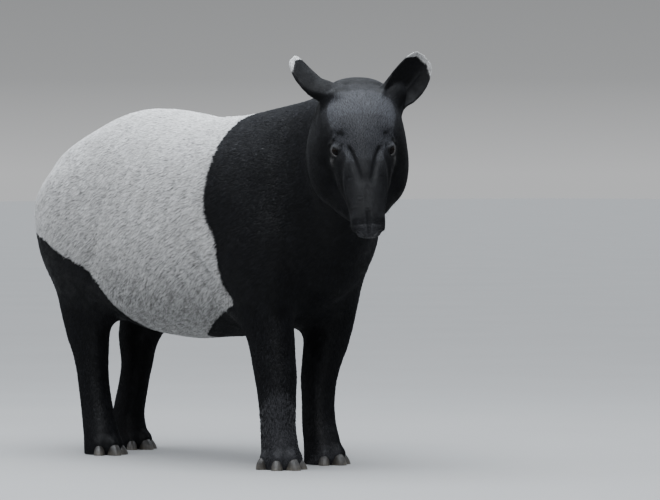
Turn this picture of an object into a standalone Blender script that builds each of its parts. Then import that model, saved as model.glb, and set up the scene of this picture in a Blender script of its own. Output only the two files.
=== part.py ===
"""Standing Malayan tapir, life size, as closed solids.

The flesh is one blended body: lofted sections for the trunk, neck, skull, jaw and limbs,
ellipsoids for cheeks and toes, and raised or carved strokes for folds and muscles. It is
parted by thin blades into named pieces. Eyes, ears and hooves are pieces of their own.
+X is forward, +Y the animal's left, +Z up, metres.
"""
import math

import bmesh
import bpy
import numpy as np
from mathutils import Matrix, Vector

# heights and lengths in metres; +X towards the head, +Y to the animal's left, +Z up, floor at 0
RUMP_Z, DIP_Z = 1.051, 1.015
BELLY_Z, CHEST_Z = 0.366, 0.418
HEAD_YAW, HEAD_PITCH, HEAD_ROLL = -36.0, -45.0, 2.0
HEAD_AT = (0.657, -0.066, 1.057)
MUZZLE_FROM, MUZZLE = 0.300, 0.880
EYE_A, EYE_B, EYE_R, EYE_OUT = 0.246, 0.046, 0.0165, 0.0048
COAT = 0.004


def unit(v):
    v = np.asarray(v, float)
    return v / np.linalg.norm(v, axis=-1, keepdims=True)


def catmull(rows, count):
    """Smooth curve through rows, evenly spread in each gap."""
    rows = np.asarray(rows, float)
    p = np.vstack([2 * rows[0] - rows[1], rows, 2 * rows[-1] - rows[-2]])
    n = len(rows) - 1
    t = np.linspace(0, n, count)
    i = np.minimum(t.astype(int), n - 1)
    u = (t - i)[:, None]
    a, b, c, d = p[i], p[i + 1], p[i + 2], p[i + 3]
    return 0.5 * (2 * b + (c - a) * u + (2 * a - 5 * b + 4 * c - d) * u**2 + (3 * b - a - 3 * c + d) * u**3)


def smin(a, b, k):
    h = np.clip(0.5 + 0.5 * (b - a) / k, 0, 1)
    return b * (1 - h) + a * h - k * h * (1 - h)


def smax(a, b, k):
    return -smin(-a, -b, k)


def step(x, lo, hi):
    t = np.clip((x - lo) / (hi - lo), 0, 1)
    return t * t * (3 - 2 * t)


class Tube:
    """A loft along a bent spine. Rows: x, y, z, half width, rise, drop, squareness."""

    def __init__(self, rows, up, caps=(0.05, 0.05), samples=56):
        s = catmull(rows, samples)
        self.c = s[:, :3]
        self.par = np.clip(s[:, 3:], 1e-3, None)
        t = unit(np.gradient(self.c, axis=0))
        self.t = t
        self.side = unit(np.cross(np.asarray(up, float), t))
        self.up = np.cross(t, self.side)
        self.caps = caps
        step_len = np.linalg.norm(np.gradient(self.c, axis=0), axis=1)
        mean = (self.par[:, 0] * 2 + self.par[:, 1] + self.par[:, 2]) / 4
        self.slope = np.clip(np.abs(np.gradient(mean)) / step_len, 0, 2.5)
        r = self.par[:, :3].max(1)
        self.lo = (self.c - r[:, None]).min(0) - max(caps)
        self.hi = (self.c + r[:, None]).max(0) + max(caps)

    def locate(self, p):
        """(index, share along the gap, overshoot at the ends) of the nearest spine point."""
        c = self.c
        d2 = (c**2).sum(1)[None] - 2 * p @ c.T
        i = np.clip(d2.argmin(1), 0, len(c) - 1)
        best = None
        for j0 in (-1, 0):
            j = np.clip(i + j0, 0, len(c) - 2)
            a = c[j]
            ab = c[j + 1] - a
            u = ((p - a) * ab).sum(1) / (ab**2).sum(1)
            uc = np.clip(u, 0, 1)
            q = p - (a + uc[:, None] * ab)
            dist = (q**2).sum(1)
            over = np.where((j == 0) & (u < 0), u, 0) + np.where((j == len(c) - 2) & (u > 1), u - 1, 0)
            over = over * np.sqrt((ab**2).sum(1))
            if best is None:
                best = [j, uc, dist, over]
            else:
                m = dist < best[2]
                for k, v in enumerate((j, uc, dist, over)):
                    best[k] = np.where(m, v, best[k])
        return best[0], best[1], best[3]

    def at(self, table, j, u):
        return table[j] * (1 - u[:, None]) + table[j + 1] * u[:, None]

    def __call__(self, p):
        j, u, over = self.locate(p)
        q = p - self.at(self.c, j, u)
        y = (q * self.at(self.side, j, u)).sum(1)
        z = (q * self.at(self.up, j, u)).sum(1)
        w, rise, drop, n = self.at(self.par, j, u).T
        h = np.where(z > 0, rise, drop)
        rho = np.hypot(y, z) + 1e-9
        r = ((np.abs(y) / rho / w) ** n + (np.abs(z) / rho / h) ** n) ** (-1 / n)
        cap = np.where(over < 0, self.caps[0], self.caps[1])
        x = np.abs(over) * r / cap
        s = self.slope[j] * (1 - u) + self.slope[j + 1] * u
        return (np.hypot(rho, x) - r) / np.sqrt(1 + s * s)

    def rings(self, around=28):
        """Rows of points on the surface, for a loft."""
        a = np.linspace(0, 2 * math.pi, around, endpoint=False)
        cy, cz = np.cos(a), np.sin(a)
        out = []

        def ring(k, shrink=1.0, push=0.0):
            w, rise, drop, n = self.par[k]
            h = np.where(cz > 0, rise, drop)
            r = ((np.abs(cy) / w) ** n + (np.abs(cz) / h) ** n) ** (-1 / n) * shrink
            c = self.c[k] + self.t[k] * push
            return c + np.outer(r * cy, self.side[k]) + np.outer(r * cz, self.up[k])

        for s in (0.35, 0.7, 0.92):
            out.append(ring(0, s, -self.caps[0] * math.sqrt(1 - s * s)))
        out += [ring(k) for k in range(len(self.c))]
        for s in (0.92, 0.7, 0.35):
            out.append(ring(-1, s, self.caps[1] * math.sqrt(1 - s * s)))
        return np.array(out)


class Ball:
    """An ellipsoid with its own axes."""

    def __init__(self, centre, radii, axes=None):
        self.c = np.asarray(centre, float)
        self.r = np.asarray(radii, float)
        self.axes = np.eye(3) if axes is None else unit(np.asarray(axes, float))
        m = self.r.max()
        self.lo, self.hi = self.c - m, self.c + m

    def __call__(self, p):
        q = (p - self.c) @ self.axes.T
        k0 = np.linalg.norm(q / self.r, axis=1) + 1e-9
        k1 = np.linalg.norm(q / self.r**2, axis=1) + 1e-9
        return k0 * (k0 - 1) / k1


def head_axes():
    ya, pi, ro = (math.radians(v) for v in (HEAD_YAW, HEAD_PITCH, HEAD_ROLL))
    fwd = np.array([math.cos(pi) * math.cos(ya), math.cos(pi) * math.sin(ya), math.sin(pi)])
    left = np.array([-math.sin(ya), math.cos(ya), 0.0])
    up = np.cross(fwd, left)
    l2 = left * math.cos(ro) + up * math.sin(ro)
    u2 = up * math.cos(ro) - left * math.sin(ro)
    return np.array([fwd, l2, u2])


HEAD = head_axes()


def on_head(a, w, b):
    """A point of the head: a along it, w to its left, b up. The muzzle is drawn in by its own share."""
    a = a - max(a - MUZZLE_FROM, 0.0) * (1 - MUZZLE)
    return np.array(HEAD_AT) + np.array([a, w, b]) @ HEAD


def in_head(p):
    h = (p - np.array(HEAD_AT)) @ HEAD.T
    h[:, 0] += np.maximum(h[:, 0] - MUZZLE_FROM, 0.0) * (1 / MUZZLE - 1)
    return h


def upright(table):
    """Rows of x, y, level, half width, top z, bottom z, squareness to spine rows."""
    return [(x, y, z, w, t - z, z - b, n) for x, y, z, w, t, b, n in table]


def trunk():
    rows = upright([
        (-0.750, 0, 0.768, 0.066, 0.820, 0.700, 2.2),
        (-0.722, 0, 0.766, 0.119, 0.863, 0.645, 2.2),
        (-0.675, 0, 0.760, 0.171, 0.911, 0.592, 2.25),
        (-0.600, 0, 0.748, 0.211, 0.963, 0.540, 2.3),
        (-0.500, 0, 0.728, 0.252, 1.015, 0.480, 2.3),
        (-0.380, 0, 0.706, 0.270, RUMP_Z, 0.415, 2.25),
        (-0.240, 0, 0.684, 0.283, 1.042, 0.375, 2.2),
        (-0.100, 0, 0.662, 0.290, 1.023, 0.358, 2.2),
        (0.040, 0, 0.652, 0.286, DIP_Z, BELLY_Z, 2.2),
        (0.170, 0, 0.662, 0.266, 1.008, 0.384, 2.15),
        (0.290, 0, 0.680, 0.235, 1.006, CHEST_Z, 2.1),
        (0.390, 0, 0.690, 0.198, 0.985, 0.462, 2.1),
        (0.470, 0, 0.690, 0.156, 0.930, 0.515, 2.0),
    ])
    return Tube(rows, (0, 0, 1), caps=(0.012, 0.075), samples=110)


def neck():
    rows = upright([
        (0.120, 0.000, 0.740, 0.150, 0.980, 0.480, 2.0),
        (0.240, 0.000, 0.760, 0.165, 1.012, 0.460, 2.0),
        (0.360, 0.000, 0.790, 0.160, 1.047, 0.490, 2.0),
        (0.460, -0.008, 0.830, 0.148, 1.076, 0.560, 2.0),
        (0.545, -0.030, 0.870, 0.136, 1.100, 0.640, 2.0),
        (0.615, -0.062, 0.905, 0.124, 1.095, 0.710, 2.0),
        (0.665, -0.095, 0.930, 0.112, 1.075, 0.760, 2.0),
    ])
    return Tube(rows, (0, 0, 1), caps=(0.1, 0.08), samples=64)


def along_head(table):
    """Rows of a, level, half width, top, bottom, squareness to spine rows."""
    out = []
    for a, c, w, t, b, n in table:
        x, y, z = on_head(a, 0, c)
        out.append((x, y, z, w, t - c, c - b, n))
    return out


def skull():
    rows = along_head([
        (0.010, 0.000, 0.106, 0.077, -0.090, 2.2),
        (0.065, 0.000, 0.116, 0.105, -0.110, 2.3),
        (0.125, 0.000, 0.124, 0.120, -0.110, 2.2),
        (0.190, 0.000, 0.116, 0.116, -0.100, 2.25),
        (0.250, 0.000, 0.091, 0.096, -0.090, 2.3),
        (0.305, 0.000, 0.076, 0.070, -0.080, 2.3),
        (0.360, -0.005, 0.063, 0.050, -0.070, 2.35),
        (0.412, -0.012, 0.054, 0.035, -0.066, 2.4),
        (0.458, -0.018, 0.049, 0.022, -0.062, 2.5),
        (0.484, -0.025, 0.047, 0.011, -0.058, 2.4),
        (0.502, -0.030, 0.045, 0.000, -0.054, 2.1),
    ])
    return Tube(rows, HEAD[2], caps=(0.07, 0.028), samples=80)


def jaw():
    rows = along_head([
        (0.080, -0.090, 0.092, -0.010, -0.150, 2.2),
        (0.150, -0.095, 0.113, -0.020, -0.180, 2.3),
        (0.220, -0.095, 0.112, -0.030, -0.182, 2.4),
        (0.285, -0.092, 0.095, -0.040, -0.170, 2.4),
        (0.340, -0.088, 0.068, -0.045, -0.146, 2.3),
        (0.385, -0.084, 0.044, -0.050, -0.118, 2.2),
        (0.412, -0.082, 0.028, -0.060, -0.104, 2.0),
    ])
    return Tube(rows, HEAD[2], caps=(0.06, 0.018), samples=48)


def cheek(s):
    return Ball(on_head(0.165, s * 0.088, -0.085), (0.108, 0.048, 0.088), HEAD)


def leg(side, rows):
    return Tube([(x, side * y, z, w, f, b, n) for x, y, z, w, f, b, n in rows], (1, 0, 0), caps=(0.06, 0.03), samples=72)


def foreleg(side):
    # x, y, z, half width, reach to the front, reach to the back, squareness
    lower = {
        -1: [(0.348, 0.148, 0.570, 0.090, 0.118, 0.127, 2.0),
             (0.346, 0.143, 0.470, 0.076, 0.098, 0.105, 2.0),
             (0.364, 0.135, 0.385, 0.062, 0.078, 0.078, 2.1),
             (0.379, 0.130, 0.280, 0.058, 0.065, 0.065, 2.2),
             (0.387, 0.128, 0.190, 0.052, 0.056, 0.057, 2.2),
             (0.390, 0.127, 0.115, 0.049, 0.052, 0.055, 2.2),
             (0.397, 0.127, 0.060, 0.050, 0.054, 0.057, 2.3),
             (0.402, 0.127, 0.012, 0.053, 0.054, 0.060, 2.4)],
        1: [(0.312, 0.137, 0.570, 0.083, 0.115, 0.128, 2.0),
            (0.314, 0.137, 0.470, 0.073, 0.096, 0.107, 2.0),
            (0.316, 0.128, 0.385, 0.064, 0.076, 0.079, 2.1),
            (0.302, 0.112, 0.280, 0.052, 0.058, 0.061, 2.2),
            (0.301, 0.104, 0.190, 0.046, 0.050, 0.053, 2.2),
            (0.309, 0.101, 0.115, 0.047, 0.050, 0.053, 2.2),
            (0.323, 0.100, 0.060, 0.049, 0.053, 0.057, 2.3),
            (0.330, 0.100, 0.012, 0.052, 0.054, 0.060, 2.4)],
    }[side]
    upper = [
        (0.330, 0.120, 0.820, 0.050, 0.100, 0.100, 2.0),
        (0.345, 0.134, 0.690, 0.080, 0.122, 0.130, 2.0),
    ]
    return leg(side, upper + lower)


def hindleg(side):
    lower = {
        -1: [(-0.467, 0.142, 0.640, 0.101, 0.146, 0.194, 2.1),
             (-0.467, 0.140, 0.530, 0.088, 0.126, 0.157, 2.0),
             (-0.483, 0.135, 0.430, 0.066, 0.092, 0.110, 2.0),
             (-0.480, 0.132, 0.350, 0.054, 0.066, 0.080, 2.1),
             (-0.472, 0.128, 0.262, 0.046, 0.050, 0.054, 2.2),
             (-0.464, 0.124, 0.180, 0.045, 0.048, 0.051, 2.2),
             (-0.451, 0.122, 0.110, 0.046, 0.051, 0.054, 2.2),
             (-0.436, 0.122, 0.055, 0.050, 0.054, 0.057, 2.3),
             (-0.429, 0.122, 0.012, 0.052, 0.055, 0.059, 2.4)],
        1: [(-0.478, 0.142, 0.640, 0.105, 0.147, 0.197, 2.1),
            (-0.485, 0.140, 0.530, 0.095, 0.127, 0.163, 2.0),
            (-0.524, 0.130, 0.430, 0.074, 0.096, 0.114, 2.0),
            (-0.548, 0.118, 0.350, 0.058, 0.064, 0.078, 2.1),
            (-0.549, 0.106, 0.262, 0.046, 0.048, 0.053, 2.2),
            (-0.563, 0.100, 0.180, 0.044, 0.047, 0.050, 2.2),
            (-0.580, 0.098, 0.110, 0.046, 0.050, 0.053, 2.2),
            (-0.576, 0.098, 0.055, 0.049, 0.054, 0.058, 2.3),
            (-0.569, 0.098, 0.012, 0.051, 0.055, 0.060, 2.4)],
    }[side]
    upper = [
        (-0.470, 0.110, 0.850, 0.070, 0.095, 0.110, 2.0),
        (-0.465, 0.140, 0.755, 0.108, 0.157, 0.200, 2.1),
    ]
    return leg(side, upper + lower)


def tail():
    rows = [
        (-0.700, 0, 0.862, 0.040, 0.034, 0.034, 2.0),
        (-0.742, 0, 0.836, 0.031, 0.026, 0.026, 2.0),
        (-0.766, 0, 0.797, 0.024, 0.020, 0.020, 2.0),
        (-0.778, 0, 0.754, 0.018, 0.015, 0.015, 2.0),
        (-0.780, 0, 0.722, 0.012, 0.010, 0.010, 2.0),
    ]
    return Tube(rows, (0, 0, 1), caps=(0.03, 0.010), samples=20)


# toes: side (1 outer), angle from the front, reach, height, size
FORE_TOES = ((0, 0.076, 0.0, 1.00), (-44, 0.068, 0.0, 0.88), (46, 0.070, 0.0, 0.90), (104, 0.066, 0.012, 0.66))
HIND_TOES = ((0, 0.080, 0.0, 1.00), (-42, 0.069, 0.0, 0.88), (42, 0.071, 0.0, 0.90))
FEET = {
    "fore_right": (0.398, -0.127, -1, 4.0, FORE_TOES),
    "fore_left": (0.326, 0.100, 1, 6.0, FORE_TOES),
    "hind_right": (-0.433, -0.122, -1, 5.0, HIND_TOES),
    "hind_left": (-0.572, 0.098, 1, 8.0, HIND_TOES),
}


def toes(name):
    """Centre, outward axis, height and size of each toe of a foot."""
    x, y, side, turn, table = FEET[name]
    out = []
    for angle, reach, z, size in table:
        t = math.radians(side * (angle + turn))
        d = np.array([math.cos(t), math.sin(t), 0.0])
        out.append((np.array([x, y, 0.0]) + d * reach, d, z, size))
    return out


def toe_flesh(name):
    out = []
    for c, d, z, size in toes(name):
        side = np.array([-d[1], d[0], 0.0])
        axes = [d, side, (0, 0, 1)]
        out.append(Ball(c - d * 0.034 * size + np.array([0, 0, z + 0.032 * size]), (0.031 * size, 0.0205 * size, 0.030 * size), axes))
    return out


def hoof(c, d, z, size):
    """Ellipsoid of a hoof before it is cut flat: centre, radii, axes."""
    side = np.array([-d[1], d[0], 0.0])
    tip = np.array([0, 0, 1.0]) - 0.35 * d
    axes = np.array([np.cross(side, unit(tip)), side, unit(tip)])
    return c - d * 0.013 * size + np.array([0, 0, z]), (0.025 * size, 0.0185 * size, 0.042 * size), axes


class Ear:
    """A cupped leaf: length along its first axis, opening along its third."""

    LONG = (-0.45, -0.1, 0.1, 0.3, 0.5, 0.65, 0.78, 0.88, 0.95, 1.0)
    WIDE = (0.58, 0.76, 0.92, 1.00, 0.97, 0.90, 0.79, 0.66, 0.48, 0.0)

    def __init__(self, base, towards, opening, size=(0.146, 0.055), bow=0.0, curl=0.55, thick=0.0036):
        a = unit(np.asarray(towards, float))
        n = np.asarray(opening, float)
        n = unit(n - a * (n @ a))
        self.axes = np.array([a, np.cross(n, a), n])
        self.base = np.asarray(base, float)
        self.size, self.bow, self.curl, self.thick = size, bow, curl, thick
        self.lo, self.hi = self.base - 0.17, self.base + 0.17

    def bend(self, t):
        """How far the middle of the leaf stands to one side."""
        t = np.clip(t, 0, 1)
        return self.bow * 4 * t * (1 - t)

    def local(self, p):
        q = (p - self.base) @ self.axes.T
        q[:, 1] -= self.bend(q[:, 0] / self.size[0])
        return q

    def half(self, t):
        return self.size[1] * np.interp(t, self.LONG, self.WIDE)

    def mid(self, t, v):
        h = self.half(t)
        roll = self.curl * (1.25 - 0.7 * np.clip(t, 0, 1))
        return h * roll * v * v - 0.020 * (1 - np.clip(t, -0.3, 1)) ** 2 + 0.004

    def __call__(self, p):
        l, w, n = self.local(p).T
        t = l / self.size[0]
        h = np.maximum(self.half(t), 0.004)
        v = np.clip(w / h, -1.25, 1.25)
        slope = 2 * self.curl * (1.25 - 0.7 * np.clip(t, 0, 1)) * v
        th = self.thick + 0.006 * (1 - step(t, -0.1, 0.35))
        sheet = np.abs(n - self.mid(t, v)) / np.sqrt(1 + slope**2) - th
        dh = (self.half(t + 0.02) - self.half(t - 0.02)) / (0.04 * self.size[0])
        rim = (np.abs(w) - self.half(t)) / np.sqrt(1 + dh**2)
        rim = np.maximum(rim, l - self.size[0])
        rim = smax(rim, -l - 0.055, 0.01)
        return smax(sheet, rim, 0.005)

    def rings(self, rows=16, cols=13):
        """Front and back sheets as closed rings along the ear, for a loft."""
        out = []
        for t in np.linspace(-0.3, 0.985, rows):
            h = max(self.half(t), 0.003)
            th = self.thick + 0.006 * (1 - step(t, -0.1, 0.35))
            v = np.linspace(-1, 1, cols)
            mid = self.mid(t, v)
            edge = np.sqrt(np.clip(1 - v**8, 0.05, 1))
            across = v * h + self.bend(t)
            front = np.stack([np.full(cols, t * self.size[0]), across, mid + th * edge], 1)
            back = np.stack([np.full(cols, t * self.size[0]), across, mid - th * edge], 1)[::-1]
            out.append(np.vstack([front, back]) @ self.axes + self.base)
        return np.array(out)


EARS = {
    # side: base (head frame), direction, opening, both in the world, bow
    1: ((0.052, 0.100, 0.066), (0.22, 0.61, 0.82), (0.93, -0.45, -0.15), -0.003),
    -1: ((0.041, -0.087, 0.074), (-0.62, -0.28, 0.72), (-0.88, -0.28, -0.12), 0.0),
}


def ear(side):
    base, towards, opening, bow = EARS[side]
    return Ear(on_head(*base), towards, opening, bow=bow)


def ear_root(side):
    """The thick foot of an ear, sunk in the crown."""
    e = ear(side)
    return Ball(e.base - e.axes[0] * 0.008, (0.044, 0.034, 0.028), e.axes)


def eye(side, body):
    """Centre of an eyeball, set into the face by its own share."""
    lo, hi = 0.05, 0.14
    for _ in range(30):
        w = (lo + hi) / 2
        if body(on_head(EYE_A, side * w, EYE_B)[None])[0] > 0:
            hi = w
        else:
            lo = w
    return on_head(EYE_A, side * (w - EYE_R + EYE_OUT), EYE_B), on_head(EYE_A, side * w, EYE_B)


class Stroke:
    """A raised (or with a negative lift, carved) line under the skin."""

    def __init__(self, points, radius, lift, taper=0.0):
        self.p = np.asarray(points, float).reshape(-1, 3)
        self.radius, self.lift, self.taper = radius, lift, taper
        self.lo, self.hi = self.p.min(0) - 2.6 * radius, self.p.max(0) + 2.6 * radius

    def __call__(self, q):
        best = ((q - self.p[0]) ** 2).sum(1)
        share = np.zeros(len(q))
        for i, (a, b) in enumerate(zip(self.p, self.p[1:])):
            ab = b - a
            u = np.clip((q - a) @ ab / (ab @ ab), 0, 1)
            d = ((q - a - u[:, None] * ab) ** 2).sum(1)
            share = np.where(d < best, (i + u) / (len(self.p) - 1), share)
            best = np.minimum(best, d)
        lift = self.lift * np.exp(-best / self.radius**2)
        if self.taper and len(self.p) > 1:
            lift = lift * step(np.minimum(share, 1 - share), 0.0, self.taper)
        return lift


# head strokes: points (a, w, b), radius, lift, taper at the ends; each is made on both sides
FACE = (
    (((0.256, 0.048, 0.078), (0.274, 0.041, 0.073), (0.300, 0.0325, 0.0645), (0.334, 0.0240, 0.055), (0.366, 0.0195, 0.0475), (0.400, 0.018, 0.040)), 0.0075, -0.0072, 0.35),
    (((0.262, 0.046, 0.076), (0.299, 0.0500, 0.0620), (0.330, 0.055, 0.047), (0.352, 0.057, 0.031), (0.380, 0.056, 0.016), (0.425, 0.051, 0.003), (0.460, 0.048, -0.006)), 0.0085, 0.0046, 0.25),
    (((0.280, 0.070, 0.052), (0.305, 0.070, 0.038), (0.335, 0.070, 0.018), (0.362, 0.068, -0.003), (0.395, 0.061, -0.016), (0.430, 0.054, -0.022), (0.460, 0.050, -0.028)), 0.0120, -0.0062, 0.30),
    (((0.290, 0.082, -0.020), (0.325, 0.074, -0.032), (0.365, 0.064, -0.045)), 0.0110, 0.0040, 0.40),
    (((0.285, 0.082, -0.042), (0.310, 0.077, -0.054), (0.345, 0.067, -0.062), (0.385, 0.055, -0.070), (0.410, 0.046, -0.076)), 0.0070, -0.0060, 0.20),
    (((0.232, 0.064, 0.082), (0.248, 0.067, 0.071)), 0.0180, -0.0048, 0.0),
    (((0.268, 0.076, 0.054),), 0.0130, -0.0030, 0.0),
    (((0.198, 0.084, 0.080), (0.214, 0.094, 0.064)), 0.0150, 0.0026, 0.0),
    (((0.262, 0.092, 0.012),), 0.0160, 0.0025, 0.0),
    (((0.240, 0.100, -0.020), (0.280, 0.090, -0.026)), 0.0200, -0.0030, 0.0),
    (((0.518, 0.027, -0.030), (0.512, 0.036, -0.036)), 0.0080, -0.0060, 0.0),
    (((0.490, 0.036, -0.004), (0.508, 0.036, -0.016)), 0.0120, 0.0040, 0.0),
)
FACE_MIDDLE = (
    (((0.180, 0.0, 0.118), (0.260, 0.0, 0.092), (0.330, 0.0, 0.065), (0.385, 0.0, 0.044)), 0.0200, 0.0030, 0.25),
    (((0.462, 0.0, 0.022), (0.490, 0.0, 0.012), (0.512, 0.0, 0.000), (0.528, 0.0, -0.014), (0.536, 0.0, -0.040)), 0.0055, -0.0042, 0.25),
)
# body strokes: points (x, y, z) with y outward, radius, lift; made on both sides
FLESH = (
    (((0.188, 0.262, 0.660), (0.214, 0.258, 0.610), (0.240, 0.250, 0.566), (0.268, 0.238, 0.506)), 0.0130, 0.0080),
    (((0.166, 0.266, 0.640), (0.192, 0.262, 0.590), (0.222, 0.250, 0.540)), 0.0140, -0.0062),
    (((-0.262, 0.285, 0.740), (-0.272, 0.283, 0.670), (-0.312, 0.262, 0.580)), 0.0320, -0.0105),
    (((0.235, 0.225, 0.900), (0.300, 0.240, 0.760), (0.330, 0.240, 0.640)), 0.0700, 0.0080),
    (((0.425, 0.150, 0.980), (0.440, 0.165, 0.860), (0.430, 0.180, 0.740)), 0.0400, -0.0070),
    (((0.235, 0.205, 0.470), (0.225, 0.175, 0.500)), 0.0350, 0.0080),
    (((-0.480, 0.262, 0.800), (-0.470, 0.268, 0.700)), 0.0900, 0.0060),
)
# joints of each leg: point, radius, lift
JOINTS = (
    ((0.441, -0.128, 0.275), 0.030, 0.0050), ((0.357, 0.110, 0.275), 0.030, 0.0050),
    ((0.340, -0.128, 0.250), 0.022, 0.0040), ((0.250, 0.108, 0.250), 0.022, 0.0040),
    ((-0.560, -0.132, 0.345), 0.028, 0.0100), ((-0.626, 0.116, 0.345), 0.028, 0.0100),
    ((-0.418, -0.130, 0.310), 0.030, 0.0040), ((-0.490, 0.112, 0.310), 0.030, 0.0040),
)


def strokes():
    out = []
    for points, radius, lift, taper in FACE:
        for s in (-1, 1):
            out.append(Stroke([on_head(a, s * w, b) for a, w, b in points], radius, lift, taper))
    for points, radius, lift, taper in FACE_MIDDLE:
        out.append(Stroke([on_head(*q) for q in points], radius, lift, taper))
    for points, radius, lift in FLESH:
        for s in (-1, 1):
            out.append(Stroke([(x, s * y, z) for x, y, z in points], radius, lift))
    for point, radius, lift in JOINTS:
        out.append(Stroke([point], radius, lift))
    return out


class Body:
    """The whole field. Each entry: shape, blend radius."""

    def __init__(self, ends=True):
        self.parts = [
            (trunk(), 0.0),
            (neck(), 0.10),
            (skull(), 0.050),
            (jaw(), 0.030),
            (cheek(1), 0.045),
            (cheek(-1), 0.045),
            (ear_root(1), 0.035),
            (ear_root(-1), 0.035),
            (foreleg(1), 0.07),
            (foreleg(-1), 0.07),
            (hindleg(1), 0.08),
            (hindleg(-1), 0.08),
        ]
        if ends:
            self.parts.append((tail(), 0.03))
        for name in FEET:
            self.parts += [(ball, 0.016) for ball in toe_flesh(name)]
        self.strokes = strokes()
        self.ears = [ear(1), ear(-1)] if ends else []

    def __call__(self, p):
        p = np.asarray(p, float)
        out = np.full(len(p), 9.0)
        for shape, k in self.parts:
            near = ((p > shape.lo - 0.12) & (p < shape.hi + 0.12)).all(1)
            if near.any():
                d = shape(p[near])
                out[near] = d if k == 0 else smin(out[near], d, k)
        for stroke in self.strokes:
            near = ((p > stroke.lo) & (p < stroke.hi)).all(1)
            if near.any():
                out[near] -= stroke(p[near])
        for shape in self.ears:
            near = ((p > shape.lo - 0.12) & (p < shape.hi + 0.12)).all(1)
            if near.any():
                out[near] = smin(out[near], shape(p[near]), 0.018)
        return out


def gradient(field, p, h=0.001):
    g = np.empty_like(p)
    for k in range(3):
        e = np.zeros(3)
        e[k] = h
        g[:, k] = (field(p + e) - field(p - e)) / (2 * h)
    return g


def settle(field, p, level=0.0, rounds=3, most=0.02):
    """Moves points onto the field's surface."""
    for _ in range(rounds):
        g = gradient(field, p)
        f = field(p) - level
        m = np.maximum((g**2).sum(1), 0.05)
        move = -(f / m)[:, None] * g
        size = np.linalg.norm(move, axis=1)
        move *= np.minimum(1, most / np.maximum(size, 1e-9))[:, None]
        p = p + move
    return p

# ---------------------------------------------------------------- solids

GAP = 0.0003
VOXEL = 0.0075
BODY_FACES = 2900
HOOF_RES = (9, 6)
BLACK = (0.018, 0.018, 0.020, 1)
WHITE = (0.62, 0.61, 0.60, 1)
EYE_DARK = (0.020, 0.013, 0.010, 1)
HORN = (0.050, 0.045, 0.040, 1)

for old in list(bpy.data.objects):
    bpy.data.objects.remove(old)
collection = bpy.data.collections.new("malayan_tapir")
bpy.context.scene.collection.children.link(collection)


def material(name, colour, rough):
    m = bpy.data.materials.new(name)
    m.use_nodes = True
    node = m.node_tree.nodes["Principled BSDF"]
    node.inputs["Base Color"].default_value = colour
    node.inputs["Roughness"].default_value = rough
    node.inputs["Metallic"].default_value = 0.0
    m.diffuse_color = colour
    return m


MAT = {
    "black_coat": material("black_coat", BLACK, 0.62),
    "white_coat": material("white_coat", WHITE, 0.80),
    "eyeball": material("eyeball", EYE_DARK, 0.10),
    "hoof_horn": material("hoof_horn", HORN, 0.45),
}


def add(name, mesh):
    ob = bpy.data.objects.new(name, mesh)
    collection.objects.link(ob)
    return ob


def from_bmesh(name, bm):
    mesh = bpy.data.meshes.new(name)
    bm.to_mesh(mesh)
    bm.free()
    return add(name, mesh)


def freeze(ob):
    """Replaces an object's mesh with what its modifiers make of it."""
    bpy.context.view_layer.update()
    graph = bpy.context.evaluated_depsgraph_get()
    mesh = bpy.data.meshes.new_from_object(ob.evaluated_get(graph))
    ob.modifiers.clear()
    old = ob.data
    ob.data = mesh
    bpy.data.meshes.remove(old)
    return ob


def boolean(ob, other, operation):
    mod = ob.modifiers.new("cut", "BOOLEAN")
    mod.solver = "EXACT"
    mod.operation = operation
    mod.object = other
    freeze(ob)
    return ob


def drop(*obs):
    for ob in obs:
        bpy.data.objects.remove(ob)


def loft(bm, rings):
    rows = [[bm.verts.new(tuple(p)) for p in ring] for ring in rings]
    n = len(rows[0])
    for a, b in zip(rows, rows[1:]):
        for i in range(n):
            j = (i + 1) % n
            bm.faces.new((a[i], a[j], b[j], b[i]))
    bm.faces.new(rows[0][::-1])
    bm.faces.new(rows[-1])
    bmesh.ops.recalc_face_normals(bm, faces=bm.faces)
    return bm


def placed(centre, radii, axes):
    """Matrix that takes the unit sphere to an ellipsoid."""
    cols = np.asarray(axes, float).T * np.asarray(radii, float)
    m = Matrix.Identity(4)
    for i in range(3):
        for j in range(3):
            m[i][j] = cols[i, j]
        m[i][3] = centre[i]
    return m


def ball_mesh(name, centre, radii, axes=np.eye(3), res=(20, 12)):
    bm = bmesh.new()
    bmesh.ops.create_uvsphere(bm, u_segments=res[0], v_segments=res[1], radius=1)
    bmesh.ops.transform(bm, matrix=placed(centre, radii, axes), verts=bm.verts)
    bmesh.ops.recalc_face_normals(bm, faces=bm.faces)
    return from_bmesh(name, bm)


def shell(centre, radii, res=(17, 9)):
    """Hollow ellipsoid whose wall is the gap left between two solids."""
    bm = bmesh.new()
    for k, flip in ((0.0, False), (GAP, True)):
        b2 = bmesh.new()
        bmesh.ops.create_uvsphere(b2, u_segments=res[0], v_segments=res[1], radius=1)
        bmesh.ops.transform(b2, matrix=placed(centre, np.array(radii) - k, np.eye(3)), verts=b2.verts)
        bmesh.ops.recalc_face_normals(b2, faces=b2.faces)
        if flip:
            bmesh.ops.reverse_faces(b2, faces=b2.faces)
        mesh = bpy.data.meshes.new("part")
        b2.to_mesh(mesh)
        b2.free()
        bm.from_mesh(mesh)
        bpy.data.meshes.remove(mesh)
    return bm


def disc(centre, normal, radius):
    """Thin round blade across a limb."""
    z = Vector(normal).normalized()
    m = Matrix.Translation(Vector(centre)) @ z.to_track_quat("Z", "Y").to_matrix().to_4x4()
    bm = bmesh.new()
    bmesh.ops.create_cone(bm, cap_ends=True, segments=20, radius1=radius, radius2=radius, depth=GAP, matrix=m)
    bmesh.ops.recalc_face_normals(bm, faces=bm.faces)
    return bm


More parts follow.
